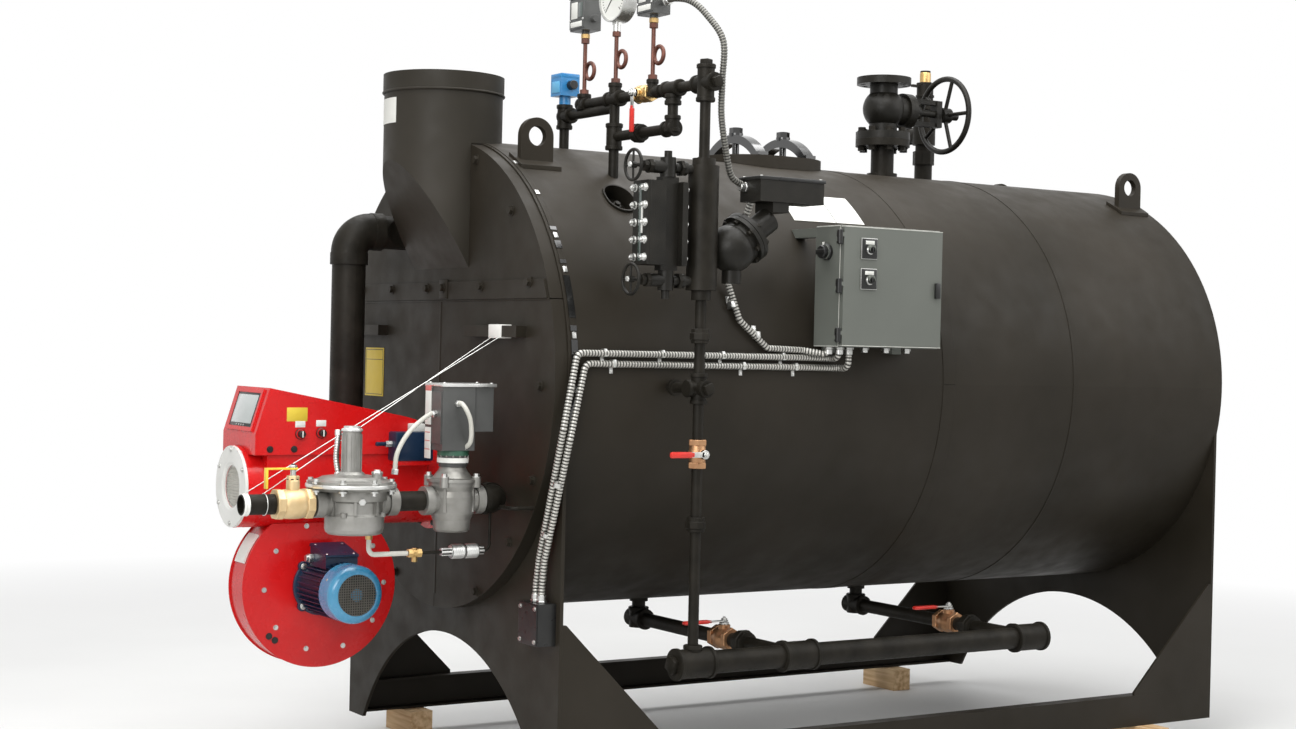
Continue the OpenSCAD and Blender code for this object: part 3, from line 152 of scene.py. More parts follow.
def ramp(tree, factor, low, high, start=0.3, end=0.7):
    """Blend from one colour to another over a range of a factor."""
    made = add_node(tree, "ShaderNodeValToRGB", {"Fac": factor})
    for element, position, colour in zip(made.color_ramp.elements, (start, end), (low, high)):
        element.position = position
        element.color = (*colour, 1)
    return made


def finish(name, low, high, rough=(0.4, 0.55), metal=0.0, patch=3.0, grain=220.0, bump=0.15, height=0.0006,
           coat=0.0, edge=0.0, shine=0.5):
    """Paint or metal: two close colours in patches, uneven gloss, a fine grained surface and soft edges."""
    made, tree, shader = new_material(name)
    colour = ramp(tree, noise(tree, patch, 6.0), low, high)
    gloss = add_node(tree, "ShaderNodeMapRange", {"Value": noise(tree, patch * 7, 5.0), "From Min": 0.3,
                                                  "From Max": 0.7, "To Min": rough[0], "To Max": rough[1]})
    relief = add_node(tree, "ShaderNodeBump", {"Strength": bump, "Distance": height,
                                               "Height": noise(tree, grain, 4.0)})
    if edge:
        feed(tree, relief, {"Normal": add_node(tree, "ShaderNodeBevel", {"Radius": edge}, samples=4)})
    feed(tree, shader, {"Base Color": colour, "Roughness": gloss, "Normal": relief, "Metallic": metal,
                        "Specular IOR Level": shine, "Coat Weight": coat, "Coat Roughness": 0.12})
    return made


def armour_finish(name, strip, groove_shade, metal):
    """Spiral strip whose grooves, marked on the mesh, are painted dark and bare of metal as painted shade."""
    made, tree, shader = new_material(name)
    groove = add_node(tree, "ShaderNodeAttribute", attribute_name="groove").outputs["Fac"]
    feed(tree, shader, {"Base Color": ramp(tree, groove, strip, groove_shade, 0.05, 0.6),
                        "Metallic": ramp(tree, groove, (metal,) * 3, (0.0,) * 3, 0.05, 0.6),
                        "Roughness": ramp(tree, noise(tree, 60, 4.0), (0.26,) * 3, (0.46,) * 3)})
    return made


def timber_finish():
    """Sawn wood with its grain along X."""
    made, tree, shader = new_material("sawn_timber")
    rings = noise(tree, 9.0, 8.0, (0.35, 6.0, 6.0))
    relief = add_node(tree, "ShaderNodeBump", {"Strength": 0.5, "Distance": 0.002, "Height": rings})
    feed(tree, shader, {"Base Color": ramp(tree, rings, (0.50, 0.30, 0.14), (0.78, 0.57, 0.34), 0.35, 0.62),
                        "Roughness": 0.8, "Normal": relief})
    return made


BLACK = finish("satin_black_paint", (0.014, 0.0115, 0.0075), (0.027, 0.0225, 0.0165), (0.42, 0.60), patch=1.6,
               grain=260, bump=0.2, edge=0.0025, shine=0.15)
STACK_BLACK = finish("sheet_black_paint", (0.018, 0.0155, 0.011), (0.030, 0.026, 0.020), (0.46, 0.62),
                     patch=2.2, grain=240, bump=0.18, shine=0.18)
IRON = finish("black_malleable_iron", (0.008, 0.007, 0.005), (0.020, 0.0175, 0.0135), (0.36, 0.56),
              metal=0.15, patch=14, grain=420, bump=0.4, height=0.0009, edge=0.0015, shine=0.12)
VALVE_IRON = finish("black_cast_iron", (0.0075, 0.007, 0.0055), (0.017, 0.0155, 0.0125), (0.28, 0.48),
                    metal=0.1, patch=12, grain=300, bump=0.5, height=0.0012, shine=0.18)
RED = finish("burner_red_paint", (0.50, 0.004, 0.005), (0.60, 0.008, 0.008), (0.22, 0.34), grain=160,
             bump=0.06, height=0.0005, coat=0.15, edge=0.003, shine=0.3)
LEVER_RED = finish("dipped_red_plastic", (0.50, 0.018, 0.012), (0.62, 0.03, 0.02), (0.3, 0.42), patch=25,
                   bump=0.1)
YELLOW = finish("yellow_lever_paint", (0.70, 0.46, 0.03), (0.82, 0.58, 0.05), (0.35, 0.5), patch=25,
                bump=0.12)
BRASS = finish("cast_brass", (0.42, 0.27, 0.10), (0.62, 0.43, 0.19), (0.26, 0.44), metal=0.9, patch=18,
               grain=300, bump=0.22)
BRONZE = finish("tarnished_bronze", (0.30, 0.15, 0.075), (0.44, 0.25, 0.13), (0.32, 0.5), metal=0.85,
                patch=20, grain=300, bump=0.25)
COPPER = finish("brown_tube", (0.075, 0.026, 0.016), (0.14, 0.046, 0.028), (0.34, 0.5), metal=0.4, patch=30,
                bump=0.1)
ZINC = finish("zinc_plated_steel", (0.46, 0.46, 0.44), (0.66, 0.66, 0.64), (0.24, 0.4), metal=0.95, patch=30,
              bump=0.08)
DIE_CAST = finish("bare_die_casting", (0.15, 0.145, 0.13), (0.31, 0.305, 0.285), (0.34, 0.5), metal=0.65,
                  patch=9, grain=340, bump=0.4, height=0.0009, edge=0.002)
NAVY = finish("navy_motor_paint", (0.004, 0.014, 0.036), (0.008, 0.024, 0.056), (0.26, 0.4), patch=8,
              coat=0.1, shine=0.35)
COWL_BLUE = finish("cowl_blue_paint", (0.035, 0.20, 0.36), (0.05, 0.27, 0.46), (0.2, 0.32), patch=6,
                   bump=0.05, coat=0.4)
BLUE = finish("transmitter_blue_paint", (0.02, 0.17, 0.40), (0.035, 0.23, 0.50), (0.28, 0.4), patch=10,
              bump=0.06)
PANEL_GREY = finish("panel_grey_coat", (0.105, 0.112, 0.098), (0.130, 0.138, 0.122), (0.38, 0.5), patch=2,
                    grain=500, bump=0.18, height=0.0004, edge=0.0015, shine=0.35)
DARK_GREY = finish("dark_grey_housing", (0.050, 0.051, 0.049), (0.078, 0.079, 0.076), (0.32, 0.46), patch=9,
                   grain=400, edge=0.002, shine=0.4)
BOX_BLACK = finish("black_housing", (0.008, 0.008, 0.008), (0.016, 0.016, 0.015), (0.26, 0.42), patch=9,
                   bump=0.12, edge=0.0015, shine=0.35)
# Dull black used only for the disc behind the motor's grille: painted shade of the cowl's inside.
GRILLE_SHADE_BLACK = finish("painted_shade_black", (0.008, 0.008, 0.008), (0.015, 0.015, 0.015), (0.6, 0.75), patch=20,
                bump=0.2, shine=0.25)
WHITE = finish("white_enamel", (0.60, 0.60, 0.57), (0.72, 0.72, 0.69), (0.34, 0.46), patch=5, bump=0.08)
PAPER = finish("plain_label_white", (0.62, 0.62, 0.58), (0.74, 0.74, 0.70), (0.5, 0.6), patch=6, bump=0.05)
LABEL_YELLOW = finish("plain_label_yellow", (0.60, 0.43, 0.03), (0.70, 0.52, 0.06), (0.42, 0.52), patch=9,
                      bump=0.05)
SCREEN = finish("display_glass", (0.34, 0.37, 0.36), (0.44, 0.47, 0.46), (0.10, 0.16), patch=5, bump=0.02,
                coat=0.8)
GLASS = finish("sight_glass", (0.02, 0.035, 0.03), (0.04, 0.06, 0.05), (0.05, 0.1), patch=8, bump=0.02,
               coat=1.0)
PALE_RED = finish("faded_red_plate", (0.52, 0.12, 0.11), (0.62, 0.18, 0.16), (0.4, 0.5), patch=9, bump=0.05)
PALE_BLUE = finish("plain_label_blue", (0.10, 0.36, 0.60), (0.14, 0.44, 0.68), (0.4, 0.5), patch=9, bump=0.05)
VALVE_GREEN = finish("dark_green_band", (0.02, 0.075, 0.045), (0.03, 0.10, 0.06), (0.35, 0.5), patch=12,
                     bump=0.08)
GLOSS_BLACK = finish("gloss_black_strip", (0.006, 0.006, 0.006), (0.012, 0.012, 0.011), (0.12, 0.2), patch=6,
                     bump=0.04, coat=0.7)
CAST_BRASS = finish("sand_cast_brass", (0.50, 0.35, 0.17), (0.68, 0.53, 0.31), (0.38, 0.55), metal=0.75,
                    patch=14, grain=240, bump=0.5, height=0.001)
DIE_CAST_BRIGHT = finish("machined_die_casting", (0.55, 0.55, 0.53), (0.72, 0.72, 0.70), (0.26, 0.4),
                         metal=0.85, patch=16, grain=380)
# Each armour's darker second colour is painted shade in its grooves.
ARMOUR = armour_finish("steel_armour", (0.50, 0.49, 0.45), (0.022, 0.020, 0.016), 0.6)
DARK_ARMOUR = armour_finish("weathered_armour", (0.17, 0.165, 0.145), (0.010, 0.009, 0.007), 0.4)
SHEATH = finish("grey_sheathed_conduit", (0.085, 0.08, 0.066), (0.14, 0.13, 0.11), (0.34, 0.5), patch=20,
                bump=0.1)
SHEATH_PALE = finish("pale_cable_sheath", (0.44, 0.43, 0.38), (0.56, 0.55, 0.50), (0.4, 0.55), patch=20,
                     bump=0.1)
TAPE = finish("white_wrapping_tape", (0.66, 0.66, 0.62), (0.78, 0.78, 0.75), (0.42, 0.6), patch=14, grain=90,
              bump=0.4, height=0.0015)
PANEL_EDGE = finish("worn_panel_edge", (0.42, 0.42, 0.38), (0.58, 0.58, 0.54), (0.4, 0.5), patch=25, bump=0.1)
TIMBER = timber_finish()


# Shapes, drawn in millimetres in the boiler's own frame

class Shape:
    """Gathers solids into one mesh. Each solid is given a place, a direction and a material number."""

    def __init__(self):
        self.points, self.faces, self.numbers = [], [], []

    def add(self, points, faces, place=None, number=0):
        start = len(self.points)
        place = place or Matrix.Identity(4)
        self.points += [place @ Vector(p) for p in points]
        self.faces += [[start + i for i in face] for face in faces]
        self.numbers += [number] * len(faces)

    def turned(self, profile, at, along=Z, number=0, sides=32, spin=0.0):
        """Solid of revolution: profile holds (radius, height) pairs from its foot to its end."""
        self.add(*revolve(profile, sides, spin), aim(at, along), number)

    def rod(self, at, along, radius, length, number=0, sides=32, edge=0.0, spin=0.0):
        """Round or many-sided bar from a place along a direction, its ends bevelled by edge."""
        edge = min(edge, radius * 0.4, length * 0.4)
        profile = [(0, 0), (radius, 0), (radius, length), (0, length)]
        if edge:
            profile[1:3] = [(radius - edge, 0), (radius, edge), (radius, length - edge),
                            (radius - edge, length)]
        self.turned(profile, at, along, number, sides, spin)

    def block(self, low, high, edge=0.0, number=0, place=None):
        """Box between two corners, in the boiler's own frame or in that of a place."""
        self.add(*rounded_block(Vector(low), Vector(high), edge), place, number)

    def block_by(self, at, low, high, edge=0.0, number=0):
        """Box between two corners that are measured from a point."""
        self.block(at + Vector(low), at + Vector(high), edge, number)

    def pipe(self, route, radius, number=0, sides=16):
        """Round tube along a route."""
        self.add(*sweep(route, radius, sides), None, number)

    def plate(self, outline, thickness, place, number=0):
        """Flat plate from an outline in its own XY plane."""
        count = len(outline)
        points = [(x, y, 0) for x, y in outline] + [(x, y, thickness) for x, y in outline]
        faces = [list(range(count))[::-1], list(range(count, 2 * count))]
        faces += [[i, (i + 1) % count, count + (i + 1) % count, count + i] for i in range(count)]
        self.add(points, faces, place, number)


def polar(radius, turn):
    """Flat coordinates at a radius and an angle."""
    return radius * math.cos(turn), radius * math.sin(turn)


def arc_outline(inner, outer, turns):
    """Outline of a curved strip between two radii."""
    return [polar(inner, t) for t in turns] + [polar(outer, t) for t in reversed(turns)]


def upright(degrees):
    """Direction in the XZ plane, turned from +X towards +Z."""
    x, z = polar(1, math.radians(degrees))
    return Vector((x, 0, z))


def aim(at, along):
    """Matrix that takes +Z to a direction and the origin to a place."""
    turn = Vector(along).normalized().to_track_quat("Z", "Y").to_matrix().to_4x4()
    return Matrix.Translation(Vector(at)) @ turn


def seat(at, across, out):
    """Matrix that takes the origin to a place, +X along across and +Z out of the surface."""
    across, out = Vector(across).normalized(), Vector(out).normalized()
    turn = Matrix((across, out.cross(across), out)).transposed().to_4x4()
    return Matrix.Translation(Vector(at)) @ turn


def revolve(profile, sides, spin=0.0):
    """Points and faces turned from (radius, height) pairs; one that ends where it starts makes a ring."""
    closed = profile[0] == profile[-1] and profile[0][0] > 0
    points, rings = [], []
    for radius, height in profile[:-1] if closed else profile:
        start = len(points)
        if radius <= 0:
            points.append((0, 0, height))
        else:
            points += [(*polar(radius, spin + i * math.tau / sides), height) for i in range(sides)]
        rings.append(list(range(start, len(points))))
    if closed:
        rings.append(rings[0])
    faces = []
    for low, high in zip(rings, rings[1:]):
        for i in range(sides):
            j = (i + 1) % sides
            if len(low) == 1 and len(high) == 1:
                continue
            if len(low) == 1:
                faces.append([low[0], high[j], high[i]])
            elif len(high) == 1:
                faces.append([low[i], low[j], high[0]])
            else:
                faces.append([low[i], low[j], high[j], high[i]])
    if not closed and len(rings[0]) > 1:
        faces.append(rings[0][::-1])
    if not closed and len(rings[-1]) > 1:
        faces.append(rings[-1])
    return points, faces


def rounded_block(low, high, edge):
    """Points and faces of a box whose edges are rounded in two steps."""
    work = bmesh.new()
    size, centre = high - low, (low + high) / 2
    bmesh.ops.create_cube(work, size=1.0)
    for vertex in work.verts:
        vertex.co = vertex.co * size + centre
    if edge:
        bmesh.ops.bevel(work, geom=work.edges[:], offset=min(edge, min(size) * 0.45), segments=2, profile=0.5,
                        affect="EDGES")
    work.verts.index_update()
    points = [vertex.co.copy() for vertex in work.verts]
    faces = [[vertex.index for vertex in face.verts] for face in work.faces]
    work.free()
    return points, faces


def rounded_route(corners, bend, steps=6):
    """Points of a route with each corner rounded to an arc of one radius."""
    corners = [Vector(c) for c in corners]
    route = [corners[0]]
    for before, corner, after in zip(corners, corners[1:], corners[2:]):
        back, ahead = (before - corner).normalized(), (after - corner).normalized()
        turn = math.pi - back.angle(ahead)
        if turn < 0.02:
            continue
        reach = bend * math.tan(turn / 2)
        centre = corner + (back + ahead).normalized() * bend / math.cos(turn / 2)
        start, end = corner + back * reach - centre, corner + ahead * reach - centre
        spin_axis = start.cross(end).normalized()
        for step in range(steps + 1):
            route.append(centre + Matrix.Rotation(turn * step / steps, 3, spin_axis) @ start)
    route.append(corners[-1])
    return route


def sweep(route, radius, sides):
    """Round tube along a route, with its side direction carried from point to point."""
    route = [Vector(p) for p in route]
    ways = [(b - a).normalized() for a, b in zip(route, route[1:])]
    ways = [ways[0]] + [(a + b).normalized() for a, b in zip(ways, ways[1:])] + [ways[-1]]
    turns = [i * math.tau / sides for i in range(sides)]
    side = ways[0].orthogonal().normalized()
    points, faces = [], []
    for point, way in zip(route, ways):
        side = (side - way * side.dot(way)).normalized()
        other = way.cross(side)
        points += [point + radius * (math.cos(t) * side + math.sin(t) * other) for t in turns]
    last = (len(route) - 1) * sides
    for ring in range(0, last, sides):
        for i in range(sides):
            j = (i + 1) % sides
            faces.append([ring + i, ring + j, ring + sides + j, ring + sides + i])
    faces += [list(range(sides))[::-1], list(range(last, last + sides))]
    return points, faces


def settle(name, mesh, body, replaced, sharp):
    """Shades a mesh and makes it a piece with its body and the CAD nodes it stands for."""
    mesh.shade_smooth()
    mesh.set_sharp_from_angle(angle=math.radians(sharp))
    piece = placed(name, mesh)
    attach(piece, body)
    if replaced:
        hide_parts(*replaced)


def make(name, shape, materials, body="boiler", replaced=(), sharp=40):
    """Turns a shape into an object in the row frame, with its faces outwards."""
    mesh = bpy.data.meshes.new(name)
    mesh.from_pydata([OWN @ p for p in shape.points], [], shape.faces)
    for material in materials:
        mesh.materials.append(material)
    mesh.polygons.foreach_set("material_index", shape.numbers)
    work = bmesh.new()
    work.from_mesh(mesh)
    bmesh.ops.recalc_face_normals(work, faces=work.faces[:])
    work.to_mesh(mesh)
    work.free()
    settle(name, mesh, body, replaced, sharp)


# Geometry Nodes for what repeats

GROOVE = 0.2


class Tree:
    """A Geometry Nodes tree with named inputs."""

    def __init__(self, name, **inputs):
        self.group = bpy.data.node_groups.new(name, "GeometryNodeTree")
        self.group.is_modifier = True
        face = self.group.interface
        for in_out in ("INPUT", "OUTPUT"):
            face.new_socket("Geometry", in_out=in_out, socket_type="NodeSocketGeometry")
        self.sockets = {}
        for label, value in inputs.items():
            kind = "Material" if value is None else "Int" if isinstance(value, int) else "Float"
            socket = face.new_socket(label, in_out="INPUT", socket_type="NodeSocket" + kind)
            if value is not None:
                socket.default_value = value
            self.sockets[label] = socket.identifier
        self.given = self.group.nodes.new("NodeGroupInput").outputs
        self.result = self.group.nodes.new("NodeGroupOutput")

    def node(self, kind, feeds=None, **settings):
        return add_node(self.group, kind, feeds, **settings)

    def join(self, *parts):
        made = self.node("GeometryNodeJoinGeometry")
        for part in parts:
            feed(self.group, made, {0: part})
        return made

    def math(self, operation, first, second):
        return self.node("ShaderNodeMath", {0: first, 1: second}, operation=operation)

    def cylinder(self, sides, radius, depth):
        return self.node("GeometryNodeMeshCylinder", {"Vertices": sides, "Radius": radius, "Depth": depth})

    def end(self, geometry):
        """Makes the tree's result: real meshes with the given material."""
        real = self.node("GeometryNodeRealizeInstances", {0: geometry})
        painted = self.node("GeometryNodeSetMaterial", {"Geometry": real, "Material": self.given["Material"]})
        feed(self.group, self.result, {0: painted})
        return self


def grown(name, data, tree, slot, replaced=(), sharp=40, place=None, **values):
    """Runs a tree on a mesh or curve and keeps the result as a plain mesh on the boiler."""
    source = placed(name + "_source", data)
    modifier = source.modifiers.new("grow", "NODES")
    modifier.node_group = tree.group
    for label, value in values.items():
        modifier[tree.sockets[label]] = value
    bpy.context.view_layer.update()
    depsgraph = bpy.context.evaluated_depsgraph_get()
    mesh = bpy.data.meshes.new_from_object(source.evaluated_get(depsgraph), depsgraph=depsgraph)
    bpy.data.objects.remove(source)
    if place:
        mesh.transform(place)
    settle(name, mesh, "boiler", replaced, sharp)


def grown_by(name, tree, at, along, slot, **values):
    """Runs a tree that draws in metres round its own Z axis, laid along a direction from a place."""
    place = OWN @ aim(at, along) @ Matrix.Scale(1 / MM, 4)
    grown(name, bpy.data.meshes.new(name + "_axis"), tree, slot, place=place, **values)


def on_points(tree, instance):
    """Sets a shape on each point, turned along the point's aim and widened by its width."""
    way = tree.node("GeometryNodeInputNamedAttribute", {"Name": "aim"}, data_type="FLOAT_VECTOR")
    width = tree.node("GeometryNodeInputNamedAttribute", {"Name": "width"}, data_type="FLOAT")
    turn = tree.node("FunctionNodeAlignRotationToVector", {"Vector": way}, axis="Z")
    size = tree.node("ShaderNodeCombineXYZ", {"X": width, "Y": width, "Z": 1.0})
    return tree.node("GeometryNodeInstanceOnPoints", {"Points": tree.given["Geometry"], "Instance": instance,
                                                      "Rotation": turn, "Scale": size})


def bolt_tree():
    """A washer and a head, hexagonal or round, on each point."""
    tree = Tree("bolt_heads", Material=None, Radius=0.012, Height=0.010, Washer=0.018, Sides=6)
    given = tree.given
    head = tree.cylinder(given["Sides"], given["Radius"], given["Height"])
    lift = tree.node("ShaderNodeCombineXYZ", {"Z": tree.math("MULTIPLY", given["Height"], 0.75)})
    raised = tree.node("GeometryNodeTransform", {"Geometry": head, "Translation": lift})
    washer = tree.cylinder(20, given["Washer"], tree.math("MULTIPLY", given["Height"], 0.5))
    return tree.end(on_points(tree, tree.join(raised, washer)))


def collar_tree():
    """The rolled bead at the mouth of a pipe fitting, on each point."""
    tree = Tree("fitting_beads", Material=None, Length=0.010, Sides=28)
    sides, length = tree.given["Sides"], tree.given["Length"]
    disc = tree.cylinder(sides, 1.0, length)
    slim = tree.cylinder(sides, 0.94, tree.math("MULTIPLY", length, 1.4))
    return tree.end(on_points(tree, tree.join(disc, slim)))


def ribbed_tree():
    """Armoured conduit: a tube along the curve with one groove in every pitch, marked so that its finish
    paints shade in it.
    """
    tree = Tree("ribbed_conduit", Material=None, Radius=0.010, Pitch=0.0105)
    third = tree.math("DIVIDE", tree.given["Pitch"], 3.0)
    steps = tree.node("GeometryNodeResampleCurve", {"Curve": tree.given["Geometry"], "Length": third},
                      mode="LENGTH")
    low = tree.math("LESS_THAN", tree.math("MODULO", tree.node("GeometryNodeInputIndex"), 3.0), 0.5)
    marked = tree.node("GeometryNodeStoreNamedAttribute", {"Geometry": steps, "Name": "groove", "Value": low},
                       data_type="FLOAT", domain="POINT")
    swell = tree.math("SUBTRACT", 1.0, tree.math("MULTIPLY", low, GROOVE))
    circle = tree.node("GeometryNodeCurvePrimitiveCircle", {"Resolution": 14, "Radius": tree.given["Radius"]})
    return tree.end(tree.node("GeometryNodeCurveToMesh", {"Curve": marked, "Profile Curve": circle,
                                                          "Scale": swell, "Fill Caps": True}))


def fin_tree():
    """Straight cooling fins round a barrel along Z."""
    tree = Tree("cooling_fins", Material=None, Count=30, Radius=0.085, Height=0.014, Length=0.16,
                Thickness=0.003)
    given = tree.given
    ring = tree.node("GeometryNodeMeshCircle", {"Vertices": given["Count"], "Radius": given["Radius"]})
    size = tree.node("ShaderNodeCombineXYZ", {"X": given["Height"], "Y": given["Thickness"],
                                              "Z": given["Length"]})
    turn = tree.node("FunctionNodeAlignRotationToVector", {"Vector": tree.node("GeometryNodeInputPosition")},
                     axis="X", pivot_axis="Z")
    fin = tree.node("GeometryNodeMeshCube", {"Size": size})
    return tree.end(tree.node("GeometryNodeInstanceOnPoints", {"Points": ring, "Instance": fin,
                                                               "Rotation": turn}))


def grille_tree():
    """Crossed wires that fill a circle: each wire is as long as the chord at its place."""
    tree = Tree("round_grille", Material=None, Radius=0.065, Pitch=0.008, Wire=0.0018)
    radius, pitch, wire = (tree.given[label] for label in ("Radius", "Pitch", "Wire"))
    count = tree.math("ADD", tree.math("DIVIDE", tree.math("MULTIPLY", radius, 1.9), pitch), 1.0)
    start = tree.node("ShaderNodeCombineXYZ", {"X": tree.math("MULTIPLY", radius, -0.95)})
    step = tree.node("ShaderNodeCombineXYZ", {"X": pitch})
    line = tree.node("GeometryNodeMeshLine", {"Count": count, "Start Location": start, "Offset": step})
    across = tree.node("ShaderNodeSeparateXYZ", {0: tree.node("GeometryNodeInputPosition")})
    square = tree.math("SUBTRACT", tree.math("MULTIPLY", radius, radius),
                       tree.math("MULTIPLY", across, across))
    chord = tree.math("MULTIPLY", tree.math("SQRT", square, 0.0), 2.0)
    size = tree.node("ShaderNodeCombineXYZ", {"X": wire, "Y": chord, "Z": wire})
    bar = tree.node("GeometryNodeMeshCube", {"Size": (1.0, 1.0, 1.0)})
    rows = tree.node("GeometryNodeInstanceOnPoints", {"Points": line, "Instance": bar, "Scale": size})
    crossed = tree.node("GeometryNodeTransform", {"Geometry": rows, "Rotation": (0, 0, math.pi / 2)})
    return tree.end(tree.join(rows, crossed))


BOLTS = bolt_tree()
COLLARS = collar_tree()
RIBBED = ribbed_tree()
FINS = fin_tree()
GRILLE = grille_tree()
BOLT_SLOTS = {ZINC: "bright_steel", IRON: "cast_iron", BLACK: "black_paint", BOX_BLACK: "dark_box"}


def point_cloud(name, places):
    """Loose points that carry the direction and the width of what is set on them."""
    mesh = bpy.data.meshes.new(name)
    mesh.from_pydata([OWN @ Vector(place[0]) for place in places], [], [])
    way = mesh.attributes.new("aim", "FLOAT_VECTOR", "POINT")
    way.data.foreach_set("vector", [value for place in places for value in Vector(place[1]).normalized()])
    width = mesh.attributes.new("width", "FLOAT", "POINT")
    width.data.foreach_set("value", [place[2] * MM if len(place) > 2 else 1.0 for place in places])
    return mesh


def bolts(name, places, radius, height, material, washer, sides=6):
    """One mesh of bolt heads from (place, direction) pairs in the boiler's own millimetres."""
    grown(name, point_cloud(name, places), BOLTS, BOLT_SLOTS[material], Material=material, Radius=radius * MM,
          Height=height * MM, Washer=washer * MM, Sides=sides)


def circle_of(at, out, radius, count, first=0.0):
    """Places of bolts on a circle round a point, each looking along out."""
    place = aim(at, out)
    turns = [math.radians(first) + i * math.tau / count for i in range(count)]
    return [(place @ Vector((*polar(radius, t), 0)), out) for t in turns]


def curve_of(name, routes):
    """Straight-sided curves along routes in the boiler's own millimetres."""
    curve = bpy.data.curves.new(name, "CURVE")
    curve.dimensions = "3D"
    for route in routes:
        spline = curve.splines.new("POLY")
        spline.points.add(len(route) - 1)
        for point, place in zip(spline.points, route):
            point.co = (*(OWN @ Vector(place)), 1)
    return curve


def ribbed(name, routes, radius, material, replaced=(), pitch=10.5):
    """One mesh of armoured conduits along routes."""
    grown(name, curve_of(name, routes), RIBBED, "bright_steel", replaced, 75, Material=material,
          Radius=radius * MM, Pitch=pitch * MM)


# CAD nodes whose shape is right get a finish of their own

CARRIED = {
    BLACK: ["shell_jacket", "front_plate", "rear_plate", "rear_door", "upper_front_cover", "lower_cover_left",
            "lower_cover_right", "base_rail_left", "base_rail_right", "corner_gussets", "lifting_lugs",
            "manhole_ring"],
    STACK_BLACK: ["flue_stack"],
    TIMBER: ["timber_blocks"],
    IRON: ["handhole", "steam_nozzle", "water_column", "trim_header", "drain_pipe", "blowdown_header",
           "flue_gas_pipe", "gas_inlet_pipe", "gas_piping", "safety_valve"],
    GLOSS_BLACK: ["manhole_yokes"],
    VALVE_IRON: ["steam_valve_body", "steam_valve_bonnet", "steam_valve_handwheel", "gauge_valves",
                 "upper_gauge_handwheel", "lower_gauge_handwheel", "low_water_cutoff", "gauge_glass"],
    COPPER: ["siphon_tubes"],
    RED: ["burner_body", "air_intake_casing", "fan_housing", "burner_control_cover"],
    WHITE: ["air_inlet_ring"],
    DIE_CAST: ["gas_regulator", "gas_safety_valve"],
    DARK_GREY: ["gas_valve_actuator", "pressure_switches"],
    BLUE: ["pressure_transmitter"],
    PANEL_GREY: ["control_panel_box", "control_panel_door"],
    BOX_BLACK: ["junction_box"],
    ZINC: ["pressure_gauge", "gas_train_ties"],
}
for material, names in CARRIED.items():
    for name in names:
        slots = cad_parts[name].data.materials
        slots.clear()
        slots.append(material)


# Places that several pieces share, read from the solids or measured from them

HEADER_OVER_AXIS, BLOW_UNDER_SHELL, FAN_R = 51, 78, 265
DOOR_HANDLE, DOOR_GAP, DOOR_HINGE, PANEL_OFF_SHELL = 24, 3, 16, 12
COLUMN = Vector((middle("gauge_glass").x, middle("water_column").y, 0))
HEADER_Z = span("trim_header")[1].z - HEADER_OVER_AXIS
LOWER_Z = HEADER_Z - 125
CROSS_Z = -18
BLOW_Z = -SHELL_R - BLOW_UNDER_SHELL
CROSS_RUNS = (775, 1770)
FIRE_Z = middle("air_inlet_ring").z
BODY_FRONT = span("air_inlet_ring")[1].y
FAN = Vector((0, middle("fan_housing").y, span("fan_housing")[0].z + FAN_R))
FAN_FACE = span("fan_housing")[1].x
GAS = Vector((middle("gas_inlet_pipe").x, 0, middle("gas_inlet_pipe").z))
COCK_Y, REG_Y, SHUT_Y = -795, -610, -272
REGULATOR, SHUT_OFF = GAS + Y * REG_Y, GAS + Y * SHUT_Y
PILOT_Z = GAS.z - 159
SWITCHES_X, SWITCH_Z = (215, 644), 1150
LEVER_EYE = 13
OCTAGON = math.pi / 8
COVER_FACE = -45
DOOR_LOW, DOOR_HIGH = span("control_panel_door")
DOOR_FACE = DOOR_HIGH.x - DOOR_HANDLE
PANEL_LOW, PANEL_TOP = DOOR_LOW.z - DOOR_GAP, DOOR_HIGH.z + DOOR_GAP
PANEL_Y, PANEL_X = DOOR_LOW.y + DOOR_HINGE, SHELL_R + PANEL_OFF_SHELL
JBOX_LOW, JBOX_HIGH = span("junction_box")


def on_shell(y, z):
    """Point on the shell's +X side at a height, and the direction out of it."""
    out = Vector((math.sqrt(SHELL_R ** 2 - z ** 2), 0, z)).normalized()
    return out * SHELL_R + Y * y, out


def points_by(origin, *steps):
    """Points that are measured from one of their own."""
    return [origin + Vector(step) for step in steps]


def open_ends(route):
    """Both ends of a route, each with the direction into it."""
    return [(Vector(route[end]), (Vector(route[beyond]) - Vector(route[end])).normalized())
            for end, beyond in ((0, 1), (-1, -2))]


def smooth(points, steps=8):
    """Catmull-Rom curve through given points."""
    points = [Vector(p) for p in points]
    padded = [2 * points[0] - points[1]] + points + [2 * points[-1] - points[-2]]
    curve = []
    for a, b, c, d in zip(padded, padded[1:], padded[2:], padded[3:]):
        for i in range(steps):
            t = i / steps
            curve.append(0.5 * (2 * b + (c - a) * t + (2 * a - 5 * b + 4 * c - d) * t ** 2 +
                                (3 * b - a - 3 * c + d) * t ** 3))
    return curve + [points[-1]]


# Armoured conduits, from the junction box round the rim to the panel and on from the float box

def by_rim(degrees, gap, y):
    """Point off the shell, at an angle below the axis on its +X side."""
    x, z = polar(SHELL_R + gap, math.radians(degrees))
    return Vector((x, y, -z))


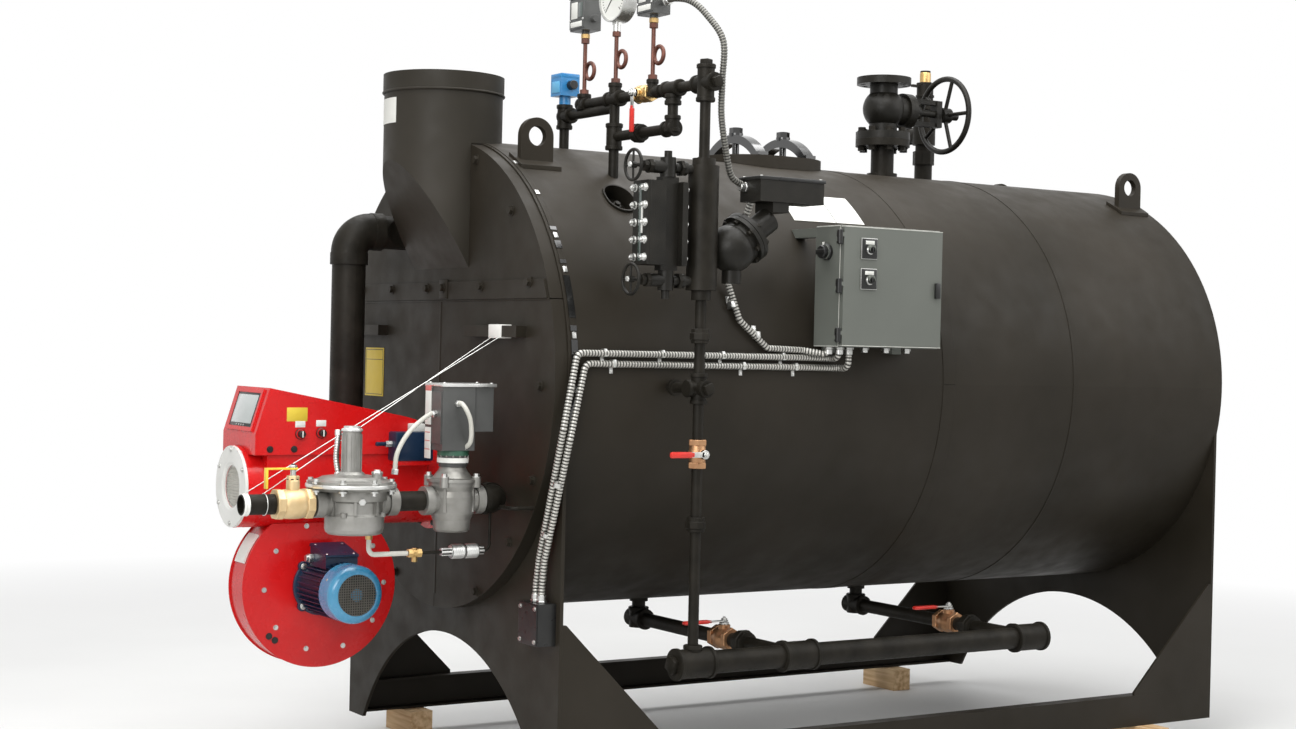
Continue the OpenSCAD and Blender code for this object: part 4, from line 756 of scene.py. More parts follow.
def conduit_routes():
    """The solids' own corners: three routes with the radius of their bends, and the arch."""
    near, under = SHELL_R + 15, PANEL_X + 60
    top, lift, front = JBOX_HIGH.z + 0.3, PANEL_LOW - 0.3, -32
    bent = []
    for from_box, rise, high, low, run_y, run_z, from_panel in (
            (46, 50, (39, 97, front), (10.5, 37, -28), 20, 84, 60),
            (82, 44, (37.8, 124, front), (12.4, 47, -6), 50, 52, 100)):
        x, y = JBOX_LOW.x + from_box, PANEL_Y + from_panel
        bent.append(([(x, front, top), (x, front, top + rise), by_rim(*high), by_rim(*low),
                      (near, run_y, run_z), (near, y, run_z), (under, y, run_z), (under, y, lift)], 24))
    x, y, float_y = COLUMN.x, COLUMN.y, COLUMN.y + 268
    bent.append(([(x - 55, float_y, 604), (x - 110, float_y, 604), by_rim(-27.6, 73, float_y - 25),
                  by_rim(-22.7, 25, float_y - 28), by_rim(-14.4, 15, float_y),
                  by_rim(-8, 15.5, PANEL_Y - 185), (near - 2, PANEL_Y - 45, 108),
                  (under - 12, PANEL_Y + 25, 96), (under - 12, PANEL_Y + 25, lift)], 18))
    arch = [(712, y, HEADER_Z + 285), (x - 120, y, HEADER_Z + 285), (x + 5, y + 58, HEADER_Z + 165),
            (x + 5, y + 58, HEADER_Z - 135), (x - 25, y + 128, 617), (x - 25, y + 178, 617)]
    return bent, arch


def smooth_arch(corners):
    """The arch as one sweeping curve through points near the solid's own bends."""
    start, over, knee, low, turn, end = [Vector(corner) for corner in corners]
    return smooth([start, start.lerp(over, 0.5), over.lerp(knee, 0.14) - Z * 2, over.lerp(knee, 0.55) + Z,
                   knee.lerp(low, 0.10), knee.lerp(low, 0.5), knee.lerp(low, 0.88), low.lerp(turn, 0.45),
                   turn.lerp(low, 0.16) + Y * 3, end])


def strap(shape, y, z, half, arch, height, foot, screw):
    """Saddle over a conduit on the shell: its arch, its foot and the foot's screw."""
    at, out = on_shell(y, z)
    place = seat(at, Y, out)
    start, end, thick = foot
    screw_x, radius, length = screw
    shape.block((-half, -arch, 0), (half, arch, height), 3, 0, place)
    shape.block((-half, start, 0), (half, end, thick), 0.8, 0, place)
    shape.rod(place @ Vector((0, screw_x, 2)), out, radius, length, 0, 12, 1)


def build_conduits():
    """Grooved armour along the routes, its glands, and the saddles and rings that hold it."""
    bent, arch = conduit_routes()
    ribbed("conduits_by_panel", [rounded_route(*route) for route in bent], 10.8, ARMOUR, ("conduits",))
    ribbed("conduit_arch", [smooth_arch(arch)], 10.6, DARK_ARMOUR, pitch=9)
    glands = Shape()
    for route in [corners for corners, _ in bent] + [arch]:
        for at, way in open_ends(route):
            glands.rod(at, way, 17, 8, 0, 6, 1.2)
            glands.rod(at + way * 8, way, 13.5, 17, 0, 24, 1.5)
    make("conduit_glands", glands, [ZINC])

    straps = Shape()
    for y, z in ((118, 84), (330, 84), (560, 84), (800, 84), (150, 52), (470, 52), (640, 52), (850, 52)):
        strap(straps, y, z, 6.5, 12.6, 26.6, (-30, -12, 2.2), (-22, 4.6, 3.6))
    for y, degrees in ((COLUMN.y + 245, 18), (COLUMN.y + 330, 11)):
        strap(straps, y, SHELL_R * math.sin(math.radians(degrees)), 9, 11, 27, (10, 34, 2.4), (24, 5.5, 4))
    for degrees, gap in ((33, 84), (22, 62)):
        at = by_rim(degrees, gap, -32)
        way = (by_rim(degrees - 5, gap, -32) - at).normalized()
        straps.turned([(12.6, -7), (13.8, -7), (13.8, 7), (12.6, 7), (12.6, -7)], at, way, 0, 24)
    make("conduit_straps", straps, [ZINC])


# Ball valves and their levers

def ball_valve(name, metal, at, way, out, radius, half, reach):
    """Barrel between two flats for the wrench, with the stem's boss and its packing nut."""
    at, valve = Vector(at), Shape()
    flat, wide, skin = half * 0.42, radius / math.cos(math.pi / 6) + 1.2, radius + 0.6
    valve.turned([(0, -half), (skin, -half), (skin, -half * 0.3), (radius + 3.5, -half * 0.2),
                  (radius + 3.5, half * 0.2), (skin, half * 0.3), (skin, half), (0, half)], at, way, 0, 36)
    for start in (-half - 0.4, half - flat + 0.4):
        valve.rod(at + way * start, way, wide, flat, 0, 6, 2.0, math.pi / 6)
    valve.rod(at, out, radius * 0.62, reach - 9, 0, 28, 1.5)
    valve.rod(at + out * (reach - 10), out, radius * 0.5, 8, 1, 6, 1.0)
    make(name, valve, [metal, ZINC])


def build_ball_valves():
    """Ball valves of the header, the drain and the blowdown, and the gas cock's body."""
    low, high = span("header_valve_lever")
    ball_valve("header_ball_valve", BRASS, ((low.x + high.x) / 2, COLUMN.y, HEADER_Z), X, FRONT, 25, 43, 45)
    drain = (COLUMN.x, COLUMN.y, middle("drain_valve_lever").z)
    ball_valve("drain_ball_valve", BRONZE, drain, Z, X, 25, 44, 43)
    for end in ("front", "rear"):
        lever = end + "_blowdown_lever"
        at = (middle(lever).x, span(lever)[1].y - LEVER_EYE, BLOW_Z)
        ball_valve(end + "_blowdown_valve", BRONZE, at, X, Z, 34, 50, 55)

    cock = Shape()
    at = GAS + Y * COCK_Y
    barrel = [(0, -58.3), (39, -58.3), (39, -36), (42, -32), (44.6, -18), (45.2, 0), (44.6, 18), (42, 32),
              (39, 36), (39, 58.3), (0, 58.3)]
    cock.turned(barrel, at, Y, 0, 40)
    for start in (-58.6, 33.4):
        cock.rod(at + Y * start, Y, 46.5, 25.2, 0, 8, 2.5, OCTAGON)
    cock.rod(at, Z, 20, 70, 0, 28, 2)
    cock.rod(at + Z * 69, Z, 19, 14, 0, 6, 1.5)
    cock.rod(at + Z * 82, Z, 8.5, 19, 1, 20, 1)
    make("gas_cock_body", cock, [CAST_BRASS, ZINC])


def dipped_lever(name, node, body, stem, grip_way, out, length, half_width=9.5):
    """Zinc-plated strip with an eye and a step, its nut, and a grip dipped in red plastic."""
    place = seat(stem, grip_way, out)
    lever = Shape()
    lever.rod(stem, out, 14, 4, 0, 32, 0.8)
    lever.block((6, -8.5, 0), (length * 0.5, 8.5, 4), 0.8, 0, place)
    lever.block((length * 0.40, -half_width, -4.5), (length + 7.5, half_width, 8.5), 5.5, 1, place)
    lever.block((length * 0.34, -half_width + 2, -2.5), (length * 0.44, half_width - 2, 6.5), 3.5, 1, place)
    lever.rod(stem + out * 4, out, 10.5, 7, 0, 6, 1)
    lever.rod(stem + out * 10, out, 5.4, 6, 0, 16, 0.8)
    make(name, lever, [ZINC, LEVER_RED], body, (node,))


def build_levers():
    """The four dipped levers and the gas cock's yellow one, each on its joint's body."""
    low, high = span("header_valve_lever")
    stem = Vector(((low.x + high.x) / 2, high.y - 6, high.z - LEVER_EYE))
    dipped_lever("header_lever_red", "header_valve_lever", "header_lever", stem, -Z, FRONT, 120)
    low, high = span("drain_valve_lever")
    stem = Vector((low.x + 6, high.y - LEVER_EYE, (low.z + high.z) / 2))
    dipped_lever("drain_lever_red", "drain_valve_lever", "drain_lever", stem, FRONT, X, 122)
    for end in ("front", "rear"):
        node = end + "_blowdown_lever"
        low, high = span(node)
        stem = Vector(((low.x + high.x) / 2, high.y - LEVER_EYE, low.z + 7))
        dipped_lever(end + "_lever_red", node, end + "_lever", stem, FRONT, Z, 158, 10.5)

    stem = Vector((GAS.x, COCK_Y, span("gas_cock_handle")[1].z - 5))
    yellow = Shape()
    yellow.rod(stem, Z, 15, 5.4, 0, 32, 1)
    yellow.block_by(stem, (-10.4, -84, 0), (10.4, -6, 5.4), 1.2, 0)
    yellow.block_by(stem, (-10.4, -87, -56), (10.4, -80.6, 5.4), 1.8, 0)
    yellow.rod(stem + Z * 5.2, Z, 11.5, 8, 1, 6, 1)
    make("gas_cock_lever", yellow, [YELLOW, ZINC], "gas_handle", ("gas_cock_handle",))


# Burner

def build_fan_motor():
    """Navy motor with its flange, fins and terminal box, and the blue cowl with its grille and a dull black
    disc of painted shade behind the grille.
    """
    start = Vector((FAN_FACE + 0.3, FAN.y, FAN.z))
    motor = Shape()
    barrel = [(0, 0), (94, 0), (96, 2), (96, 10), (94, 12), (84, 14), (80, 22), (79, 200), (0, 200)]
    motor.turned(barrel, start, X, 0, 64)
    for degrees in range(45, 360, 90):
        ear = start + Vector((0, *polar(90, math.radians(degrees))))
        motor.rod(ear, X, 17, 14, 0, 28, 2)
        motor.rod(ear + X * 14, X, 11, 3, 2, 20, 0.8)
        motor.rod(ear + X * 17, X, 8.6, 6, 2, 6, 0.8)
    wedge = [(40, 70), (40, 132), (46, 137), (52, 137), (164, 109), (166, 105), (166, 70)]
    motor.plate(wedge, 108, seat(start + Y * 54, X, -Y))
    lid = [(38, 132), (40, 139.5), (46, 143), (168, 114), (169.5, 108), (164, 105.5), (50, 133)]
    motor.plate(lid, 114, seat(start + Y * 57, X, -Y))
    for along in (0.12, 0.88):
        lid_z = 143 - (143 - 114) * along
        for side in (-46, 46):
            screw = start + Vector((46 + along * 122, side, lid_z - 4))
            motor.rod(screw, Vector((0.24, 0, 1)), 4.6, 5, 2, 12, 1)
    motor.rod(start + Vector((60, -54, 96)), FRONT, 15, 16, 2, 6, 1)
    motor.rod(start + Vector((60, -69, 96)), FRONT, 11, 10, 2, 20, 1)
    cowl = [(0, 200), (90, 200), (92, 201), (92, 246)]
    cowl += [(66 + 26 * math.cos(t), 264 + 25.8 * math.sin(t)) for t in map(math.radians, range(0, 91, 10))]
    cowl += [(64.5, 289), (64, 282), (0, 282)]
    motor.turned(cowl, start, X, 1, 72)
    # Dull black disc just behind the grille: painted shade of the inside of the cowl.
    motor.rod(start + X * 281, X, 63.6, 3, 3, 48)
    motor.turned([(0, 283), (20, 283), (20, 285), (14, 286), (0, 286)], start, X, 1, 32)
    for turn in map(math.radians, range(30, 360, 120)):
        motor.rod(start + Vector((236, *polar(91, turn))), Vector((0, *polar(1, turn))), 4.5, 3, 2, 12, 0.8)
    make("fan_motor_body", motor, [NAVY, COWL_BLUE, ZINC, GRILLE_SHADE_BLACK], "boiler", ("fan_motor",), 32)

    grown_by("motor_fins", FINS, start + X * 110, X, "motor_blue", Material=NAVY, Count=32, Radius=0.0845,
             Height=0.015, Length=0.172, Thickness=0.0032)
    grown_by("motor_grille", GRILLE, start + X * 288.4, X, "dark_box", Material=SHEATH, Radius=0.0655,
             Pitch=0.0078, Wire=0.0022)


def build_fan_trim():
    """Screws and plugs of the fan's disc, and the bare plate on the fan's rim."""
    face = FAN + X * FAN_FACE
    screws = circle_of(face + Vector((0, 16, -4)), X, 208, 10, 1)
    bolts("fan_disc_screws", screws, 5.5, 5, ZINC, 8.5)
    plugs = [(at, X) for at in points_by(face, (0, -152, -170), (0, -172, -156))]
    bolts("fan_disc_plugs", plugs, 8, 4, BOX_BLACK, 11, 12)
    width = 78
    start, end = math.radians(141), math.radians(163)
    outline = arc_outline(261.0, 266.6, [start + (end - start) * i / 10 for i in range(11)])
    plate = Shape()
    plate.plate(outline, width, seat(FAN - X * width / 2, Y, X))
    make("fan_rim_plate", plate, [PAPER], sharp=50)


def build_control_cover_trim():
    """Display, knobs, bare plates and screws of the burner's control cover."""
    lean = Vector((0, 45, 146)).normalized()
    panel = seat((0, BODY_FRONT + 37.5, FIRE_Z + 245), X, Vector((0, -lean.z, lean.y)))
    display = Shape()
    display.block((-94.5, -56.5, 3.5), (94.5, 56.5, 5), 0.4, 0, panel)
    display.block((-84, -45, 4.5), (84, 49, 6.4), 0.6, 1, panel)
    for x in range(-30, 31, 20):
        display.rod(panel @ Vector((x, -51, 4.8)), panel.to_3x3() @ Z, 3.2, 2, 2, 14, 0.5)
    make("burner_display", display, [BOX_BLACK, SCREEN, ZINC])

    side = span("burner_control_cover")[1].x - 22
    knobs = Shape()
    for y, z in ((-600, -194), (-529, -191)):
        at = Vector((side, y, z))
        knobs.rod(at, X, 17, 8, 0, 28, 2)
        knobs.turned([(0, 8), (12, 8), (11, 23.5), (9.5, 25), (0, 25)], at, X, 0, 16)
        knobs.block_by(at, (-1, -2, -10), (26, 2, 10), 1, 1)
        knobs.block_by(at, (0, -17, 21), (1.6, 17, 41), 0.6, 1)
    knobs.block((side, -646, -154), (side + 1.2, -576, -110), 0.5, 2)
    make("burner_knobs", knobs, [BOX_BLACK, PAPER, LABEL_YELLOW])
    low_edge = [((side, y, -242), X) for y in (-700, -619)]
    bolts("cover_side_screws", low_edge, 8, 5, BOX_BLACK, 11, 12)


def build_air_inlet_trim():
    """The small servo box, the inlet's guard with its rim, a dark grey disc of painted shade behind the
    guard, and the bolts of both flanges.
    """
    servo = Shape()
    servo.block((132, -292, -281), (196, -156, -186), 6, 0)
    servo.block((128, -284, -296), (190, -164, -278), 3, 1)
    servo.block((140, -226, -186), (180, -180, -160), 3, 2)
    servo.rod((164, -292, -226), FRONT, 11, 22, 3, 6, 1)
    servo.rod((164, -314, -226), FRONT, 7, 34, 0, 16, 1)
    make("air_servo", servo, [NAVY, RED, PAPER, ZINC])

    grown_by("inlet_guard", GRILLE, (0, BODY_FRONT + 4, FIRE_Z), FRONT, "bright_steel", Material=SHEATH_PALE,
             Radius=0.070, Pitch=0.0092, Wire=0.0026)
    ring = Shape()
    ring.turned([(63, 0), (69, 0), (69, 7), (63, 7), (63, 0)], (0, BODY_FRONT + 1, FIRE_Z), Y, 0, 48)
    # Dark grey disc behind the guard: painted shade of the inlet's inside.
    ring.rod((0, BODY_FRONT + 54, FIRE_Z), FRONT, 67, 3, 1, 40)
    make("inlet_guard_rim_and_shade_disc", ring, [ZINC, DARK_GREY])
    mouth = circle_of((0, BODY_FRONT - 10, FIRE_Z), FRONT, 117, 6, 30)
    bolts("inlet_ring_screws", mouth, 5.5, 4, ZINC, 8.5, 12)
    flange = circle_of((0, COVER_FACE - 32, FIRE_Z), FRONT, 141, 8, 22.5)
    bolts("burner_flange_bolts", flange, 9.5, 9, IRON, 14)


# Gas train

def build_gas_train_trim():
    """Bolts and bright, machined parts of the regulator, the shut-off valve and the pilot line."""
    around = circle_of(REGULATOR + Z * 62, Z, 122, 8, 10)
    bolts("diaphragm_bolts", around + [(place - Z * 24, -Z) for place, _ in around], 8, 9, ZINC, 13)
    bolts("shut_off_bolts", circle_of(SHUT_OFF + Z * 73, Z, 77, 4, 45), 9, 9, ZINC, 13.5)

    bright = Shape()
    cap = [(0, 212), (29.5, 212), (32.2, 214), (32.2, 219), (30, 221), (25.2, 223), (25.2, 228.4), (0, 228.4)]
    bright.turned(cap, REGULATOR, Z, 0, 36)
    rim = [(135.4, 47), (136.2, 48.5), (136.2, 55.5), (135.4, 57), (120, 57.4), (120, 46.6), (135.4, 47)]
    bright.turned(rim, REGULATOR, Z, 0, 72)
    bright.rod(REGULATOR + Vector((66, 54, 88)), Z, 17.2, 8, 0, 6, 1.2)
    bright.rod(REGULATOR + Vector((66, 54, 95)), Z, 10, 6, 0, 20, 1)
    bright.rod(REGULATOR + Vector((88, -4, 8)), Vector((1, -0.25, 0)), 11, 14, 0, 6, 1)
    for y in (-274.4, -226.4):
        bright.rod((GAS.x, y, PILOT_Z), Y, 22, 44.8, 0, 36, 3)
        for notch in range(5):
            bright.rod((GAS.x, y + 7 + notch * 7, PILOT_Z), Y, 22.8, 2.4, 0, 36, 0.6)
    for y, length in ((-306.4, 33), (-187, 27.4)):
        bright.rod((GAS.x, y, PILOT_Z), Y, 13.5, length, 0, 6, 1.2)
    make("gas_train_bright_parts", bright, [DIE_CAST_BRIGHT])


def build_pilot_line():
    """Pale sleeve of the pilot line, and its brass fittings."""
    x, foot = GAS.x, REG_Y + 62
    sleeve = Shape()
    sleeve.pipe(rounded_route([(x, foot, GAS.z - 112), (x, foot, PILOT_Z), (x, -420, PILOT_Z)], 20), 7.6)
    make("pilot_line_sleeve", sleeve, [SHEATH_PALE])
    fitting = Shape()
    for y, radius, length, sides, edge in ((-418.5, 14, 16, 6, 1.2), (-390, 14, 16.5, 6, 1.2),
                                           (-404, 12.6, 16, 24, 1)):
        fitting.rod((x, y, PILOT_Z), Y, radius, length, 0, sides, edge)
    fitting.rod((x, -396, PILOT_Z - 27), Z, 9.2, 42, 0, 6, 1)
    fitting.rod((x, foot, GAS.z - 96), -Z, 11, 17, 0, 6, 1)
    make("pilot_line_fittings", fitting, [BRASS])


def build_actuator_trim():
    """Bands of the shut-off valve's drum, and the actuator's lid and bare plates."""
    low, high = span("gas_valve_actuator")
    drum = SHUT_OFF + Z * 104
    trim = Shape()
    trim.turned([(45, 12), (48.8, 12.4), (48.8, 27), (45, 27.4), (45, 12)], drum, Z, 0, 56)
    trim.turned([(45, 34), (48.9, 34.4), (48.9, 52), (45, 52.4), (45, 34)], drum, Z, 1, 56)
    for i in range(14):
        trim.rod(drum + Vector((*polar(46.5, math.tau * i / 14), 28)), Z, 3.2, 7, 2, 8)
    corner = Vector((low.x, low.y, high.z))
    trim.block_by(corner, (6, -1.4, -128), (44, 2, -8), 0.8, 0)
    trim.block_by(corner, (6, -1.8, -24), (44, 1, -8), 0.5, 3)
    trim.block_by(corner, (6, -1.4, -232), (44, 2, -136), 0.8, 0)
    for drop in (150, 176, 202):
        trim.block_by(corner, (8, -1.8, -drop - 3), (42, 1, -drop), 0.4, 3)
    trim.block((low.x - 1, low.y - 1, high.z - 9.6), (high.x + 1, high.y + 1, high.z + 0.8), 2.2, 4)
    for x in (low.x + 12, high.x - 12):
        for y in (low.y + 12, high.y - 12):
            trim.rod((x, y, high.z), Z, 5, 3.5, 4, 12, 0.8)
    trim.block((high.x - 16.5, SHUT_Y - 56, high.z - 90), (high.x - 15, SHUT_Y - 22, high.z - 30), 0.4, 5)
    make("actuator_trim", trim, [PAPER, VALVE_GREEN, DIE_CAST, PALE_RED, DIE_CAST_BRIGHT, DARK_GREY])


def build_leads():
    """Cables of the actuator, the regulator's vent hose, and the wraps of the pipe and the wires."""
    wall = Vector((span("gas_valve_actuator")[1].x - 16, SHUT_Y, GAS.z))
    across = points_by(REGULATOR, (30, 128, 84), (34, 134, 150), (30, 176, 214))
    across += points_by(SHUT_OFF, (12, -92, 262), (10, -64, 268))
    down = points_by(wall, (2, -14, 300), (34, -6, 296), (50, 12, 250), (32, 24, 186), (-6, 20, 158))
    leads = Shape()
    for route in (across, down):
        leads.pipe(smooth(route), 7.2, 0, 14)
        for at, way in open_ends(route):
            leads.rod(at, way, 11, 16, 1, 6, 1)
    make("actuator_leads", leads, [SHEATH_PALE, ZINC])
    vent = points_by(REGULATOR, (-36, -26, 84), (-40, -32, 130), (-38, -30, 176), (-38, -28, 200))
    ribbed("vent_hose", [smooth(vent)], 9, ZINC, pitch=8)
    ends = Shape()
    ends.rod(REGULATOR + Vector((-38, -28, 198)), Z, 10, 18, 0, 6, 1)
    ends.rod(REGULATOR + Vector((-36, -26, 78)), Z, 12, 10, 0, 6, 1)
    make("vent_hose_ends", ends, [ZINC])

    tape = Shape()
    wrap = [(31, 0), (32.6, 0.6), (33.0, 9), (32.6, 17.4), (31, 18), (31, 0)]
    tape.turned(wrap, (GAS.x, -953.8, GAS.z), Y, 0, 40)
    tape.block((424, -87, 124), (506, -46, 168), 3, 0)
    make("tie_wrapping", tape, [TAPE])


# Piping and its fittings

def fitting_mouths():
    """Middle, direction, length and radius of the fittings on the small piping."""
    x, y, z, low = COLUMN.x, COLUMN.y, HEADER_Z, LOWER_Z
    return [((767, y, z), X, 84, 24), ((767, y, z - 34), Z, 30, 24), ((415, y, z), X, 78, 24),
            ((415, y, z + 26), Z, 50, 20), ((215, y, z + 8), Z, 50, 21), ((215, y, z), X, 44, 21),
            ((767, y, low + 14), Z, 50, 23), ((757, y, low), X, 58, 23), ((415, y, low), Z, 84, 26),
            ((85, y, z - 32), Z, 80, 25), ((105, y, z - 30), X, 60, 24), ((644, y, z + 14), Z, 52, 17),
            ((x, y, z), Z, 112, 27), ((x, y, z), X, 104, 26), ((x, y, CROSS_Z), Z, 92, 24),
            ((x, y, CROSS_Z), X, 92, 24), ((x, y - 23, CROSS_Z), Y, 46, 24)]


def build_fittings():
    """Rolled beads, unions and square plugs of the piping."""
    x, y = COLUMN.x, COLUMN.y
    rings = [(Vector(at) + way * end * (length / 2 - 5), way, radius + 3.2)
             for at, way, length, radius in fitting_mouths() for end in (-1, 1)]
    for run in (y, *CROSS_RUNS):
        rings += [(Vector((x, run + end, BLOW_Z)), Y, 50) for end in (-60, 60)]
        upward, sideways = (Vector((x, run, BLOW_Z + 50)), Z, 30), (Vector((x - 78, run, BLOW_Z)), X, 37)
        rings.append(upward if run == y else sideways)
    for run in CROSS_RUNS:
        rings += [(Vector((46, run, BLOW_Z)), X, 37), (Vector((0, run, BLOW_Z + 34)), Z, 37)]
    grown("fitting_beads", point_cloud("fitting_beads", rings), COLLARS, "cast_iron", Material=IRON,
          Length=10 * MM, Sides=28)

    nuts = Shape()
    unions = [((570, y, LOWER_Z), X, 27), ((x, y, 144), Z, 27), ((x, y, -438), Z, 27)]
    unions += [((655, run, BLOW_Z), X, 38) for run in CROSS_RUNS]
    for at, way, radius in unions:
        at = Vector(at)
        nuts.rod(at - way * 13, way, radius + 5.5, 24, 0, 8, 2.5, OCTAGON)
        nuts.rod(at - way * 23, way, radius + 1, 46, 0, 8, 1.5, OCTAGON)
    for at, way, half in (((x + 59, y, HEADER_Z), X, 15), ((x + 50, y, CROSS_Z), X, 15),
                          ((x, y, HEADER_Z + 60), Z, 15), ((x, y - 80, BLOW_Z), Y, 22)):
        place = aim(at, way) @ Matrix.Rotation(0.4, 4, "Z")
        nuts.block((-half, -half, -6), (half, half, 14), 3, 0, place)
    make("union_nuts", nuts, [IRON])


def build_column_trim():
    """Studs, window and bare scale of the gauge, bolts and lid of the float, and the valves' nuts."""
    low, high = span("gauge_glass")
    front = low.y + 12
    z_low, z_high = low.z + 15, high.z - 15
    rows = [z_low + 22 + i * (z_high - z_low - 44) / 4 for i in range(5)]
    studs = [((COLUMN.x + side * 29, front, z), FRONT) for z in rows for side in (-1, 1)]
    bolts("gauge_cover_nuts", studs, 10.6, 10, ZINC, 12.5)
    tips = Shape()
    for place, way in studs:
        tips.rod(Vector(place) + FRONT * 12, way, 5, 7, 0, 12, 1)
    for z in rows:
        tips.rod((COLUMN.x + 29, high.y - 1, z), Y, 9, 7, 0, 6, 1)
    make("gauge_stud_ends", tips, [ZINC])
    x = COLUMN.x
    window = Shape()
    window.block((x + 8, front - 3, rows[1] + 20), (x + 15, front + 1, rows[3] + 10), 0.6, 0)
    window.block((x - 9, front - 2, z_low + 10), (x + 7, front + 1, z_high - 10), 1.5, 1)
    window.block((x - 42.6, front + 8, z_low - 0.6), (x + 42.6, front + 11, z_high + 0.6), 1, 2)
    make("gauge_window", window, [PAPER, GLASS, VALVE_IRON])

    bowl = Vector((x, COLUMN.y + 112, 420))
    tilt = Matrix.Rotation(math.radians(35), 3, "X") @ Y
    around = circle_of(bowl + tilt * 76, tilt, 73, 8, 22.5)
    back = [(place - tilt * 30, -tilt) for place, _ in around]
    bolts("float_flange_bolts", around + back, 8.5, 8, IRON, 12)
    lid = Shape()
    lid.block((x - 59, bowl.y + 61, 637.5), (x + 59, bowl.y + 319, 649), 2.5, 0)
    for y in (bowl.y + 74, bowl.y + 306):
        for side in (-46, 46):
            lid.rod((x + side, y, 648), Z, 5.5, 3, 1, 12, 0.8)
    make("float_box_lid", lid, [BOX_BLACK, ZINC])
    packing = Shape()
    for z in (656, 311):
        packing.rod((x, COLUMN.y - 192, z), FRONT, 23, 14, 0, 6, 1.5)
        packing.rod((x, COLUMN.y - 210, z), FRONT, 18, 12, 0, 6, 1.5)
        packing.rod((x, COLUMN.y - 92, z), Y, 26, 12, 0, 6, 1.5)
    make("gauge_valve_nuts", packing, [IRON])
    for end in ("upper", "lower"):
        nut = Shape()
        nut.rod(middle(end + "_gauge_handwheel") + FRONT * 9, FRONT, 9, 6, 0, 6, 1)
        make(end + "_wheel_nut", nut, [ZINC], end + "_wheel")


def build_steam_trim():
    """Bolts of the steam flanges and the bonnet, the wheel's nut and the safety valve's cap."""
    low, high = span("steam_valve_body")
    y = middle("steam_nozzle").y
    for name, z, way in (("steam_flange_bolts", low.z + 28, Z), ("steam_flange_nuts", low.z - 28.3, -Z)):
        bolts(name, circle_of((0, y, z), way, 84.15, 8, 22.5), 15, 14, IRON, 18)
    bonnet = circle_of((0, high.y + 18.3, (low.z + high.z) / 2), Y, 56, 8, 22.5)
    bolts("bonnet_bolts", bonnet, 9, 9, IRON, 12)
    nut = Shape()
    nut.rod(middle("steam_valve_handwheel") + Y * 22, Y, 21, 12, 0, 6, 1.5)
    make("steam_wheel_nut", nut, [IRON], "steam_wheel")

    top = Vector((-250, 2270, span("safety_valve")[1].z))
    cap = Shape()
    cap.turned([(0, -57), (22.6, -57), (22.6, -12), (20, -4), (14, 0.5), (0, 1)], top, Z, 0, 32)
    cap.rod(top - Z * 60, Z, 36, 12, 1, 6, 2)
    make("safety_valve_cap", cap, [BRASS, IRON])


def build_instruments():
    """Dial of the steam gauge, covers of the pressure switches and the transmitter's lid."""
    low, high = span("pressure_gauge")
    radius = (high.x - low.x) / 2
    centre = Vector(((low.x + high.x) / 2, low.y, high.z - radius))
    dial = Shape()
    dial.turned([(0, -4), (75, -4), (75, -2.5), (0, -2.5)], centre, FRONT, 0, 64)
    rim = [(74.6, -6), (82.6, -3), (83, 1.5), (80, 3), (75.5, 1.5), (74.6, -6)]
    dial.turned(rim, centre, FRONT, 2, 72)
    for i in range(31):
        way = upright(225 - i * 9)
        long, half = (7, 1.0) if i % 5 else (13, 1.7)
        mark = seat(centre + way * (66 - long / 2), way, FRONT)
        mark.translation += FRONT * -2.6
        dial.block((-long / 2, -half, 0), (long / 2, half, 0.5), 0, 1, mark)
    needle = seat(centre + FRONT * -2.0, upright(225), FRONT)
    dial.plate([(-18, -3), (52, -1.2), (58, 0), (52, 1.2), (-18, 3)], 0.8, needle, 1)
    dial.rod(centre + FRONT * -2.4, FRONT, 6, 3, 1, 20, 0.6)
    make("gauge_dial", dial, [PAPER, BOX_BLACK, ZINC])

    covers = Shape()
    for x in SWITCHES_X:
        at = Vector((x, COLUMN.y - 34, SWITCH_Z))
        covers.block_by(at, (-47, -3, 28), (47, 1, 128), 1.5, 0)
        covers.block_by(at, (-34, -4.4, 62), (6, -2, 118), 0.6, 1)
        covers.block_by(at, (-38, -4.2, 34), (36, -2, 52), 0.6, 1)
        covers.block_by(at, (12, -4, 66), (38, -2, 114), 1.5, 2)
        for side in (-42, 42):
            covers.rod(at + Vector((side, -3, 58)), FRONT, 4, 2.4, 3, 12, 0.5)
        covers.rod(at + Vector((24, 34, 155)), Z, 8, 6, 3, 12, 1)
        covers.rod(at + Vector((0, 34, -2)), Z, 15, 16, 4, 6, 1.2)
    make("pressure_switch_covers", covers, [DARK_GREY, PAPER, GLASS, ZINC, BRASS])

    low, high = span("pressure_transmitter")
    at = Vector((low.x + 36, COLUMN.y, high.z))
    box = Shape()
    box.block_by(at, (-37, -37, -16), (37, 37, 1), 4, 0)
    box.block_by(at, (-26, -38.2, -66), (26, -36, -26), 1, 1)
    box.rod(at + Vector((36, 0, -40)), X, 16, 26, 2, 20, 1.5)
    make("transmitter_lid", box, [BLUE, PALE_BLUE, BOX_BLACK])

    ferrules = Shape()
    for x, foot in ((215, 33), (417, 51), (644, 40)):
        ferrules.rod((x, COLUMN.y, HEADER_Z + foot + 0.3), Z, 15, 17, 0, 6, 1.2)
        ferrules.rod((x, COLUMN.y, HEADER_Z + 206), Z, 14, 17, 0, 6, 1.2)
    make("siphon_ferrules", ferrules, [COPPER])


# Front, shell and panel

